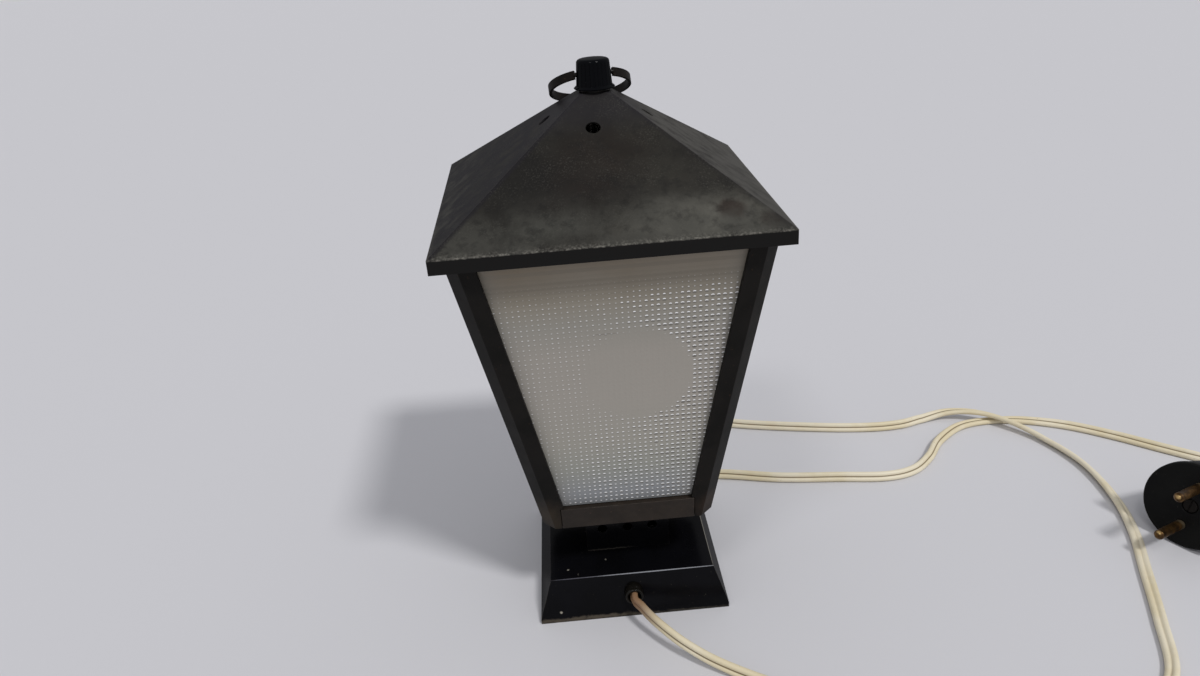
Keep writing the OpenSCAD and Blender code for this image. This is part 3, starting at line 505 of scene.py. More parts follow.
@dataclass(frozen=True)
class RoofPatina(Finish):
    """Sheet steel darkened by age: its hips, crown, eaves and skirt differ in tone, and its side faces carry painted
    shade on the left and painted light on the right.
    """

    hip: str = "1a181b"
    left_face_shade: str = "131116"
    right_face_light: str = "484642"
    crown: str = "262427"
    low_sheen_and_mottle: str = "41403b"
    grit: str = "504e48"
    dust: str = "77746c"
    skirt: str = "141312"
    eave_z: float = 166.3
    apex_z: float = 203.2
    low_fade: Fade = (15.0, 2.0)
    side_fade: Fade = (-0.3, 0.3)
    middle_fade: float = 2.0
    hip_fade: Fade = (2.6, 0.4)
    hip_left: Fade = (30.0, -10.0, 0.55)
    hip_least: float = 0.3
    crown_fade: Fade = (-12.0, -4.0, 0.6)
    dust_fade: Fade = (1.5, 0.1)
    skirt_fade: Fade = (-0.1, -0.5)
    bend_drop: float = 0.1
    bend_fade: Fade = (0.4, 0.15)
    clouds: Patches = Patches(9.0, 9.0, 0.32, 0.62, 0.8)
    pits: Patches = Patches(2.6, 9.0, 0.46, 0.7, 0.5)
    streaks: Patches = Patches(4.0, 9.0, 0.25, 0.62, 0.9)
    grits: Patches = Patches(0.34, 3.0, 0.5, 0.72, 0.4)
    grit_lies: Patches = Patches(7.0, 5.0, 0.36, 0.66)
    dusting: Patches = Patches(0.5, 6.0, 0.42, 0.7, 0.45)
    rubbing_and_highlight: Patches = Patches(0.7, 9.0, 0.44, 0.68, 0.62)

    def colours(self, mat: Shading) -> Socket:
        """Adds the faces, hips, crown, eaves and skirt to the mottled steel.

        Args:
            mat: The material in the making.

        Returns:
            The colour socket.
        """
        colour = super().colours(mat)
        axes = mat.axes(mat.place)
        low = mat.fade(axes["Z"], self.low_fade, self.eave_z)
        # Lighter patches low on the faces: mottling with painted sheen
        colour = mat.over(mat.product(low, mat.patches(self.clouds)), colour, self.low_sheen_and_mottle)
        colour = mat.over(mat.patches(self.pits), colour, self.skirt)
        aside = mat.sum("SUBTRACT", mat.sum("ABSOLUTE", axes["X"]), mat.sum("ABSOLUTE", axes["Y"]))
        on_sides = mat.fade(aside, self.side_fade)
        streaks = mat.patches(self.streaks)
        # Painted shade on the left face, painted light on the right face
        for reach, face in ((-self.middle_fade, self.left_face_shade), (self.middle_fade, self.right_face_light)):
            half = mat.fade(axes["X"], (-reach, reach))
            colour = mat.over(mat.product(half, on_sides, streaks), colour, face)
        near_hip = mat.fade(mat.sum("ABSOLUTE", aside), self.hip_fade)
        left = mat.fade(axes["X"], self.hip_left)
        colour = mat.over(mat.product(near_hip, mat.sum("ADD", left, self.hip_least)), colour, self.hip)
        colour = mat.over(mat.fade(axes["Z"], self.crown_fade, self.apex_z), colour, self.crown)
        colour = mat.over(mat.product(mat.patches(self.grits), mat.patches(self.grit_lies)), colour, self.grit)
        return self.eaves(mat, axes["Z"], colour)

    def eaves(self, mat: Shading, height: Socket, colour: Socket) -> Socket:
        """Dusts the eaves, paints a pale line along their bend as wear and a highlight, and darkens the skirt under
        them.

        Args:
            mat: The material in the making.
            height: The height of the place.
            colour: The colour of the faces.

        Returns:
            The colour socket.
        """
        near = mat.fade(height, self.dust_fade, self.eave_z)
        colour = mat.over(mat.product(near, mat.patches(self.dusting)), colour, self.dust)
        colour = mat.over(mat.fade(height, self.skirt_fade, self.eave_z), colour, self.skirt)
        # The pale line along the bend: rubbed wear with a painted highlight
        off = mat.sum("ABSOLUTE", mat.sum("SUBTRACT", height, (self.eave_z - self.bend_drop) * MM))
        return mat.over(mat.product(mat.fade(off, self.bend_fade), mat.patches(self.rubbing_and_highlight)), colour, self.worn)


@dataclass(frozen=True)
class DottedSheet(Finish):
    """Off-white styrene sheet pressed with rows of lens-shaped dots.

    Each dot carries a painted highlight, a small bright half-moon, over a line of painted shade. The
    painted highlights grow towards the right, fade in the upper margin and are left out in front of the bulb.
    Places on the sheet are millimetres across it from its middle, and up it from its lowest dots.
    """

    pitch: float = 2.0
    height: float = 110.0
    # Painted light in these tones: the eave's shadow at the top, shade and a bluish table reflection at the foot
    tones: tuple[tuple[float, str], ...] = (
        (0.0, "7f8183"), (5.0, "8a8c8e"), (17.0, "96968e"), (30.0, "a09c92"), (50.0, "a39d94"), (70.0, "a09a91"),
        (82.0, "959188"), (95.0, "8a8273"), (107.0, "7c6f5c"),
    )
    rim: str = "81775f"
    # Painted shade towards the side edges, under the posts' flanges
    side: str = "86827a"
    drawn: str = "7a7264"
    # Painted shade: the dark line under each dot's painted highlight
    line: str = "68645d"
    # Painted highlight on each dot
    painted_glint: str = "ffffff"
    side_fade: Fade = (14.0, 1.0, 0.5)
    rim_fade: Fade = (2.4, 1.2, 0.6)
    clouds: Patches = Patches(30.0, 5.0, 0.35, 0.7, 0.25)
    drawn_above: Fade = (84.0, 104.0)
    drawn_lines: Fade = (0.42, 0.58, 0.6)
    drawn_scale: float = 0.7
    lit_right: Fade = (-14.0, 30.0, 0.78)
    lit_upper: Fade = (96.0, 66.0, 0.3)
    lit_foot: Fade = (52.0, 14.0, 0.42)
    lit_foot_right: Fade = (-34.0, -2.0)
    lit_least: float = 0.36
    dots_below: Fade = (101.0, 89.0)
    dots_inside: Fade = (1.6, 2.2)
    plain_at: tuple[float, float] = (6.5, 59.8)
    plain_radius: float = 19.3
    plain_fade: Fade = (-1.5, 1.2)
    uneven: Fade = (0.58, 1.16)
    weak_strong: Fade = (0.25, 0.95)
    small_large: Fade = (0.4, 1.12)
    shade_share: float = 0.8
    painted_glint_gain: float = 1.5
    oval_fade: Fade = (1.25, 0.5)
    moon: Point = (0.0, 0.28, 0.19)
    moon_cut: Point = (-0.19, 0.3, 0.2)
    shade: Point = (-0.2, 0.4, 0.22)

    def roughness(self, mat: Shading) -> Socket | float:
        """The same all over the sheet."""
        return self.rough[0]

    def colours(self, mat: Shading) -> Socket:
        """Lays tones with painted shade, dots with painted highlights, and marks; the sheet's two maps hold the place
        on it and its half width there.

        Args:
            mat: The material in the making.

        Returns:
            The colour socket.
        """
        sheet, halves = mat.uv("sheet_mm"), mat.uv("half_mm")
        x, y = sheet["X"], sheet["Y"]
        rim = mat.sum("SUBTRACT", halves["X"], mat.sum("ABSOLUTE", x))
        colour = self.toned(mat, y, rim)
        return self.marked(mat, self.dotted(mat, x, y, self.lights(mat, x, y, rim), colour))

    def toned(self, mat: Shading, y: Socket, rim: Socket) -> Socket:
        """The sheet's tone by height with its painted shadow and reflection, fine drawn lines above, painted shade
        towards the sides and a yellowed rim.

        Args:
            mat: The material in the making.
            y: The height on the sheet, in millimetres.
            rim: The distance from the nearer side edge.

        Returns:
            The colour socket.
        """
        share = mat.sum("DIVIDE", y, self.height)
        stops = [(up / self.height, linear(tone)) for up, tone in self.tones]
        colour = mat.add("ShaderNodeValToRGB", {"Fac": share}, stops=stops).outputs["Color"]
        colour = mat.over(mat.patches(self.clouds), colour, self.patch)
        drawn = mat.add("ShaderNodeTexNoise", {"W": y, "Scale": self.drawn_scale, "Detail": 2.0}, noise_dimensions="1D")
        lines = mat.step(drawn.outputs["Fac"], *self.drawn_lines)
        colour = mat.over(mat.product(lines, mat.step(y, *self.drawn_above)), colour, self.drawn)
        # Painted shade towards the sides
        colour = mat.over(mat.step(rim, *self.side_fade), colour, self.side)
        return mat.over(mat.step(rim, *self.rim_fade), colour, self.rim)

    def lights(self, mat: Shading, x: Socket, y: Socket, rim: Socket) -> Socket:
        """How strongly the painted highlights and shade lines show on the dots at a place, from 0 to 1.

        Args:
            mat: The material in the making.
            x: The place across the sheet, in millimetres.
            y: The height on it.
            rim: The distance from the nearer side edge.

        Returns:
            The strength of the painted highlights and shade lines there.
        """
        upper = mat.sum("ADD", mat.step(y, *self.lit_upper), 1.0 - self.lit_upper[2])
        right = mat.product(mat.step(x, *self.lit_right), upper)
        foot = mat.product(mat.step(y, *self.lit_foot), mat.step(x, *self.lit_foot_right))
        lit = mat.sum("ADD", mat.sum("MAXIMUM", right, foot), self.lit_least)
        here = mat.add("ShaderNodeCombineXYZ", {0: x, 1: y}).outputs[0]
        away = mat.vector("DISTANCE", here, (*self.plain_at, 0.0))["Value"]
        disc_edge = tuple(self.plain_radius + reach for reach in self.plain_fade)
        for value, fade in ((away, disc_edge), (y, self.dots_below), (rim, self.dots_inside)):
            lit = mat.product(lit, mat.step(value, *fade))
        return lit

    def dotted(self, mat: Shading, x: Socket, y: Socket, lit: Socket, colour: Socket) -> Socket:
        """Paints a highlight on each dot, a bright half-moon, and a line of painted shade under it.

        Args:
            mat: The material in the making.
            x: Millimetres across the sheet.
            y: Millimetres up the sheet.
            lit: How strongly the painted highlights and shade lines show.
            colour: The sheet's own colour.

        Returns:
            The colour with the dots.
        """
        cells, rests = [], []
        for value in (x, y):
            count = mat.sum("DIVIDE", value, self.pitch)
            cells.append(mat.sum("ROUND", count))
            rests.append(mat.sum("SUBTRACT", count, cells[-1]))
        number = mat.add("ShaderNodeCombineXYZ", dict(enumerate(cells)))
        chance = mat.add("ShaderNodeTexWhiteNoise", {"Vector": number.outputs[0]}).outputs["Value"]
        force = mat.product(lit, mat.range(chance, (0.0, 1.0), self.uneven))
        size = mat.range(force, self.weak_strong, self.small_large)
        # Each dot's painted highlight is the moon less its cut; its painted shade line is the shade oval
        moon, cut, shade = (self.oval(mat, rests, oval, size) for oval in (self.moon, self.moon_cut, self.shade))
        colour = mat.over(mat.product(shade, force, self.shade_share), colour, self.line)
        bright = mat.sum("MINIMUM", mat.product(force, self.painted_glint_gain), 1.0)
        return mat.over(mat.product(moon, mat.sum("SUBTRACT", 1.0, cut), bright), colour, self.painted_glint)

    def oval(self, mat: Shading, rests: Sequence[Socket], oval: Point, size: Socket) -> Socket:
        """A soft oval in every dot: its rise, half width and half height are shares of the pitch.

        Args:
            mat: The material in the making.
            rests: The place inside its cell of the dots, across and up.
            oval: The rise, half width and half height.
            size: How large this dot is, 1 for a usual one.

        Returns:
            A socket that is 1 inside the oval and 0 outside.
        """
        rise, wide, tall = oval
        across = mat.sum("POWER", mat.sum("DIVIDE", rests[0], wide), 2.0)
        upward = mat.sum("POWER", mat.sum("DIVIDE", mat.sum("SUBTRACT", rests[1], rise), tall), 2.0)
        total = mat.sum("DIVIDE", mat.sum("ADD", across, upward), mat.sum("POWER", size, 2.0))
        return mat.step(total, *self.oval_fade)


@dataclass(frozen=True)
class CordPvc(Finish):
    """Aged cream PVC of a flat twin cord, brown with dirt where it leaves the base, its groove darker with dirt and
    painted shade.
    """

    # Dirt and painted shade in the groove
    groove: str = "6f5c3c"
    stain: str = "774c28"
    groove_depth: Fade = (0.25, 1.0, 0.9)
    stain_fade: Fade = (47.0, 27.0, 0.88)
    clean_from: float = 230.0
    clean_to: float = 350.0
    clean_fade: float = 20.0
    soiled_and_shaded: float = 0.8
    least_soiled_and_shaded: float = 0.2

    def colours(self, mat: Shading) -> Socket:
        """Adds the groove's dirt and painted shade, and the stain; the map holds the groove and the metres along the
        cord.

        Args:
            mat: The material in the making.

        Returns:
            The colour socket.
        """
        colour = super().colours(mat)
        cord = mat.uv("cord")
        groove_dirt_and_shade = mat.step(cord["X"], *self.groove_depth)
        soiled_and_shaded = [
            mat.fade(cord["Y"], (fade, -fade, self.soiled_and_shaded), end)
            for end, fade in ((self.clean_from, self.clean_fade), (self.clean_to, -self.clean_fade))
        ]
        share = mat.product(groove_dirt_and_shade, mat.sum("ADD", mat.sum("MAXIMUM", *soiled_and_shaded), self.least_soiled_and_shaded))
        colour = mat.over(share, colour, self.groove)
        return mat.over(mat.fade(cord["Y"], self.stain_fade), colour, self.stain)


# Bright plating, a little dulled, with brown specks where the zinc has gone.
STEEL = Finish("zinc_plated_steel", "8d8a84", "77746e", fleck="5a4a38", fleck_share=0.3, metal=0.9, rough=(0.3, 0.5))
# Steel painted nearly black and brownish as painted shade, for the bracket in the dark of the neck and the screw sunk
# in the plug, so that they hardly show.
SHADE_DARK_STEEL = Finish(
    "shade_darkened_steel", "1a1715", "120f0d", fleck="2c221a", fleck_share=0.3, metal=0.3, rough=(0.5, 0.7),
    specular=0.15,
)
# Brass pins gone brown along their sides, with bright metal where they rub in the socket; their bright tips are rubbed
# metal with a painted glint.
BRASS = Finish(
    "worn_brass", "6d512e", "3f2d1b", fleck="251b12", fleck_share=0.4, patch_size=3.0, worn="d0ad6c",
    edge=Wear.BARE, metal=0.9, rough=(0.28, 0.5), marks=(
        # Bright tips: rubbed metal with a painted glint towards the upper right
        Mark((220.5, -35.8, 31.9), (0.65, 1.0, 0.65), "e2c084", 0.8, 0.5, 0.7),
        Mark((216.7, -35.0, 14.4), (0.65, 1.0, 0.65), "e2c084", 0.8, 0.5, 0.7),
        Mark((236.6, -26.2, 27.8), (2.2, 3.0, 3.0), "b8aa8c", 0.6, 0.5, 0.4),
        Mark((232.7, -25.7, 10.1), (2.2, 3.0, 3.0), "b8aa8c", 0.6, 0.5, 0.4),
    ),
)
# Clean yellow brass with the fine marks of rolling.
CONTACT_BRASS = Finish("rolled_brass", "b6975a", "a08044", patch_size=5.0, metal=1.0, rough=(0.25, 0.4))
# Nearly black strip with a brown sheen, its narrow edges rubbed paler.
DARK_STEEL = Finish(
    "bronzed_strip_steel", "15110f", "0d0b0a", fleck="2f221a", fleck_share=0.5, patch_size=3.0, worn="3d352e",
    edge=Wear.RUBBED, edge_radius=0.3, rough=(0.4, 0.6), specular=0.0, coat=0.2, coat_rough=0.3,
)
# A thin black lacquer over steel: satin, brown towards the feet, with pale rubbed bends.
POST_LACQUER = Finish(
    "worn_black_lacquer", "141311", "1a1816", fleck="2c231c", fleck_share=0.35, patch_size=9.0, worn="4d473f",
    edge=Wear.RUBBED, edge_radius=0.4, rough=(0.4, 0.58), relief=0.03, specular=0.02, coat=0.12, coat_rough=0.3,
    marks=(
        Mark((-34, -36, 48), (8, 8, 8), "3f362c", 0.65, 2.5, 0.7),
        Mark((34, -36, 47), (7, 7, 6), "3b2f26", 0.6, 2.5, 0.7),
        Mark((36, 36, 50), (8, 8, 8), "3b3228", 0.6, 2.5, 0.7),
        Mark((-36, 36, 51), (8, 8, 9), "382f26", 0.6, 2.5, 0.7),
    ),
)
# The same lacquer worn thin, so that the rails look brown, with a paler upper lip.
RAIL_LACQUER = Finish(
    "thin_black_lacquer", "2c251f", "241e19", fleck="40332a", fleck_share=0.3, patch_size=6.0, worn="7a7066",
    edge=Wear.RUBBED, edge_radius=0.4, rough=(0.42, 0.6), relief=0.03, specular=0.2,
)
# Inside faces that only dust has dulled: plain, dark and matte.
INNER_STEEL = Finish(
    "dark_sheet_steel", "211e1b", "292521", fleck="3c2c20", fleck_share=0.4, rough=(0.5, 0.65), specular=0.25
)
# Bare sheet gone dark with age: matte, mottled brown and grey-green, with rust discs and a dusty eave; painted shade
# darkens the left face, and painted light and sheen brighten the right face and the front's right and low parts.
ROOF_STEEL = RoofPatina(
    "patinated_sheet_steel", "272521", "1e1c19", fleck="33312c", fleck_share=0.4, fleck_size=0.5, patch_size=11.0,
    worn="8b877e", rough=(0.5, 0.66), relief=0.035, specular=0.0, coat=0.25, coat_rough=0.5, marks=(
        # Painted sheen: lighter on the right of the front face, where the light falls
        Mark((27, -52, 170), (24, 8, 7), "64625a", 0.8, 4.0, 0.8),
        Mark((-24, -36, 181), (14, 13, 12), "161513", 0.75, 4.0, 0.8),
        Mark((-6, -42, 177.5), (11, 9, 8), "1b1613", 0.85, 3.5, 0.7),
        Mark((-14, -46, 174.5), (17, 7, 6), "1b1815", 0.6, 4.0, 0.8),
        # Painted sheen low on the left of the front face
        Mark((-17, -50, 170.8), (13, 5, 4), "4b4b45", 0.55, 4.0, 0.8),
        Mark((1, -47.5, 173.5), (11, 6, 6), "1b1814", 0.65, 4.0, 0.8),
        Mark((0, -27, 186), (14, 11, 9), "211b16", 0.65, 4.0, 0.8),
        # Painted sheen on the right of the front face
        Mark((18, -36, 180), (10, 8, 8), "33312b", 0.5, 4.0, 0.8),
        Mark((38.3, -49.4, 172), (4.4, 3.6, 3.6), "2a211c", 0.85, 1.3, 0.4),
        Mark((49.9, -53.6, 169), (3.8, 3, 3), "2a211c", 0.85, 1.2, 0.4),
        Mark((54, -55, 168), (5, 5, 4), "1c1a18", 0.6, 1.5, 0.6),
        Mark((30, 30, 182), (14, 14, 9), "241e1a", 0.6, 4.0, 0.8),
        Mark((-20, 44, 176), (14, 9, 8), "45443d", 0.6, 4.0, 0.8),
    ),
)
# Baked paint, deep black and faintly glossy, its edges rubbed to grey; the pale line along its foot is a painted
# highlight.
NECK_PAINT = Finish(
    "black_stove_paint", "0b0b0d", "0f0f11", fleck="2c2823", fleck_share=0.12, worn="4f4b46", edge=Wear.RUBBED,
    edge_radius=0.35, rough=(0.34, 0.5), specular=0.0, coat=0.2, marks=(
        # Painted highlight along the foot
        Mark((-9, -17.4, 18.0), (9, 0.8, 0.35), "5f5a52", 0.35, 0.5, 0.6),
    ),
)
# Moulded plastic, ink black and smooth, with dust specks and a rubbed brown rim; the pale lines along the top's front
# and right edges are painted highlights.
BASE_PLASTIC = Finish(
    "moulded_polystyrene", "08080a", "0b0b0e", fleck="3f3c35", fleck_share=0.1, fleck_size=0.5, worn="5d574d",
    edge=Wear.RUBBED, edge_radius=0.45, rough=(0.26, 0.4), relief=0.012, ior=1.59, specular=0.0, coat=0.16,
    coat_rough=0.15, marks=(
        # Painted highlights along the top's front and right edges, bluish and brighter towards the right
        Mark((10, -33.1, 17.45), (26, 0.22, 0.24), "a6a8ae", 0.75, 0.1),
        Mark((-22, -33.1, 17.45), (10, 0.2, 0.2), "62616a", 0.6, 0.1),
        Mark((33.1, -4, 17.45), (0.26, 31, 0.28), "98948a", 0.7, 0.1),
        Mark((-20, -38.6, 0.9), (26, 0.8, 1.1), "5c5449", 0.7, 0.8, 0.6),
        Mark((22, -38.6, 0.5), (20, 0.7, 0.6), "4a463f", 0.5, 0.6, 0.6),
        Mark((-10.2, -23.3, 17.5), (0.35, 0.5, 0.4), "6f6b62", 0.8, 0.2),
        Mark((-25.9, -27.7, 17.5), (0.4, 0.45, 0.4), "8d887c", 0.8, 0.2),
        Mark((-21.9, -31.0, 17.5), (0.25, 0.7, 0.4), "4c4a45", 0.7, 0.2),
        Mark((-30, -37.5, 4.4), (0.6, 0.5, 0.5), "a39d8f", 0.8, 0.2),
    ),
)
# Hard moulded plastic, blue-black, its highlights small and sharp.
KNOB_PLASTIC = Finish(
    "moulded_phenolic", "050609", "07080b", fleck="2a2926", fleck_share=0.08, fleck_size=0.4, rough=(0.22, 0.34),
    relief=0.006, ior=1.6, specular=0.0, coat=0.12, coat_rough=0.1,
)
# The same plastic with a dull, dusty skin.
PLUG_PLASTIC = Finish(
    "matte_phenolic", "0d0d0d", "121211", fleck="2f2d2a", fleck_share=0.2, worn="3a3835", edge=Wear.RUBBED,
    rough=(0.5, 0.66), ior=1.6, specular=0.04, coat=0.08, coat_rough=0.4,
)
# Old rubber, nearly black, with a small oily highlight.
BUSH_RUBBER = Finish(
    "aged_rubber", "171512", "110f0c", fleck="2c271f", fleck_share=0.3, patch_size=4.0, rough=(0.4, 0.5),
    relief=0.01, specular=0.0, coat=0.35, coat_rough=0.12,
)
# Pressed wood fibre: matte brown, with the flecks of its fibres.
HARDBOARD = Finish(
    "pressed_board", "4a3626", "3b2b1e", fleck="6b533c", fleck_share=0.5, patch_size=5.0, rough=(0.6, 0.8), relief=0.04
)
# Porcelain under a thick brown-black glaze, as on old lampholders: very glossy, browner where it is thin.
PORCELAIN = Finish(
    "brown_glazed_porcelain", "1d1410", "2c1c13", fleck="0e0a08", fleck_share=0.1, worn="6a4a33", edge=Wear.RUBBED,
    edge_radius=0.4, rough=(0.14, 0.26), specular=0.3,
)
# Milk-white glass, smooth and very glossy.
OPAL_GLASS = Finish("opal_glass", "eeece6", "e6e3da", patch_size=20.0, rough=(0.08, 0.16), relief=0.004)
# Soft silvery metal with a rolled grain.
CAP_ALUMINIUM = Finish("rolled_aluminium", "b8b5ac", "a19d94", patch_size=5.0, metal=1.0, rough=(0.28, 0.42))
# Black glass round the end contact, shiny and nearly plain.
INSULATOR = Finish("black_glass_insulator", "15131a", "1d1a20", patch_size=3.0, rough=(0.12, 0.3))
# Smooth cream covering, slightly yellowed.
WIRE_PVC = Finish("cream_wire_pvc", "cdbf97", "bba97c", patch_size=6.0, rough=(0.4, 0.55))
# Thin pressed styrene: pale grey with a satin skin, a painted shadow at the top, a painted bluish reflection at the
# foot and painted highlights on its dots.
PANEL_SHEET = DottedSheet(
    "pressed_styrene_sheet", "a49f96", "9d9990", rough=(0.42, 0.5), relief=0.01, ior=1.59,
    specular=0.3, marks=(
        Mark((-4, -46.4, 131.4), (4.4, 1.5, 0.17), "6a655c", 0.55, 0.05, 0.4),
        Mark((0.6, -35.7, 69.2), (0.4, 1.5, 0.4), "4a453c", 0.6, 0.1, 0.3),
    ),
)
# Soft plastic gone cream with age: satin, with a groove between its two cores darkened as dirt and as painted shade.
CORD_PVC = CordPvc(
    "aged_cream_pvc", "e6dcc3", "dccfae", fleck="8b7b5c", fleck_share=0.1, patch_size=18.0, rough=(0.4, 0.56),
    relief=0.012, ior=1.53, specular=0.35,
)
FINISHES = {
    "steel": STEEL, "dull": SHADE_DARK_STEEL, "brass": BRASS, "contact": CONTACT_BRASS, "strip": DARK_STEEL,
    "post": POST_LACQUER, "rail": RAIL_LACQUER, "inner": INNER_STEEL, "roof": ROOF_STEEL, "neck": NECK_PAINT,
    "base": BASE_PLASTIC, "knob": KNOB_PLASTIC, "plug": PLUG_PLASTIC, "bush": BUSH_RUBBER, "board": HARDBOARD,
    "porcelain": PORCELAIN, "opal": OPAL_GLASS, "cap": CAP_ALUMINIUM, "insulator": INSULATOR, "wire": WIRE_PVC,
    "panel": PANEL_SHEET, "cord": CORD_PVC,
}


# Stage


@dataclass
class Camera:
    """The photograph's camera, solved on the lamp's own edges."""

    place: Point = (-12.512, -309.846, 255.476)
    right: Point = (0.99585693, -0.05802865, -0.07001184)
    up: Point = (0.08813146, 0.42624238, 0.90030566)
    forward: Point = (0.02240151, 0.90274587, -0.42959057)
    focal_px: float = 869.56
    frame_px: float = 1200.0
    sensor: float = 36.0
    nearest: float = 10.0

    def build(self) -> None:
        """Adds the camera and makes it the scene's own."""
        data = bpy.data.cameras.new("photo_camera")
        data.sensor_width = self.sensor
        data.lens = self.focal_px / self.frame_px * self.sensor
        data.clip_start = self.nearest * MM
        made = placed("photo_camera", data)
        axes = Matrix((self.right, self.up, tuple(-v for v in self.forward))).transposed()
        made.matrix_world = Matrix.Translation(Vector(self.place) * MM) @ axes.to_4x4()
        bpy.context.scene.camera = made


@dataclass
class Studio:
    """A pale table, an even sky, and two soft lights above the front, placed by the photograph's shadows."""

    table_size: float = 16000.0
    table_colour: str = "d1d0d3"
    table_rough: float = 0.7
    table_specular: float = 0.2
    sky: float = 0.5
    sky_colour: str = "eceef4"
    backdrop: str = "c9c9cc"
    lights: tuple[tuple[str, Point, float, float], ...] = (
        ("key", (0.353, -0.474, 0.807), 1.45, 8.0),
        ("second", (-0.265, -0.5, 0.82), 0.35, 12.0),
    )

    def build(self) -> None:
        """Adds the table, the sky and the lights."""
        half = self.table_size * MM / 2
        table = mesh_object("table", [(-half, -half, 0), (half, -half, 0), (half, half, 0), (-half, half, 0)],
                            [(0, 1, 2, 3)])
        paint(table, self.table_material())
        self.surround()
        for light in self.lights:
            self.sun(*light)

    def table_material(self) -> Material:
        """A plain pale matte surface.

        Returns:
            The table's material.
        """
        made = bpy.data.materials.new("pale_table")
        made.use_nodes = True
        shader = made.node_tree.nodes["Principled BSDF"]
        shader.inputs["Base Color"].default_value = linear(self.table_colour)
        shader.inputs["Roughness"].default_value = self.table_rough
        shader.inputs["Specular IOR Level"].default_value = self.table_specular
        return made

    def surround(self) -> None:
        """A pale backdrop for the camera and for gloss and glass, and the even sky for everything else."""
        world = bpy.data.worlds.new("surround")
        bpy.context.scene.world = world
        world.use_nodes = True
        tree = world.node_tree
        tree.nodes.clear()
        path = add(tree, "ShaderNodeLightPath").outputs
        seen = maths(tree, "MAXIMUM", path["Is Camera Ray"], path["Is Glossy Ray"])
        seen = maths(tree, "MAXIMUM", seen, path["Is Transmission Ray"])
        sky = add(tree, "ShaderNodeBackground", {"Color": linear(self.sky_colour), "Strength": self.sky})
        pale = add(tree, "ShaderNodeBackground", {"Color": linear(self.backdrop), "Strength": 1.0})
        both = add(tree, "ShaderNodeMixShader", {0: seen, 1: sky.outputs[0], 2: pale.outputs[0]})
        add(tree, "ShaderNodeOutputWorld", {"Surface": both.outputs[0]})

    def sun(self, name: str, source: Point, power: float, spread: float) -> None:
        """Adds a distant light, so that the table is lit evenly.

        Args:
            name: The light's name.
            source: The direction that it comes from.
            power: Its strength.
            spread: How wide it looks from the table, in degrees.
        """
        data = bpy.data.lights.new(name, "SUN")
        data.energy = power
        data.angle = math.radians(spread)
        placed(name, data).matrix_world = Vector(source).to_track_quat("Z", "Y").to_matrix().to_4x4()


# The cord


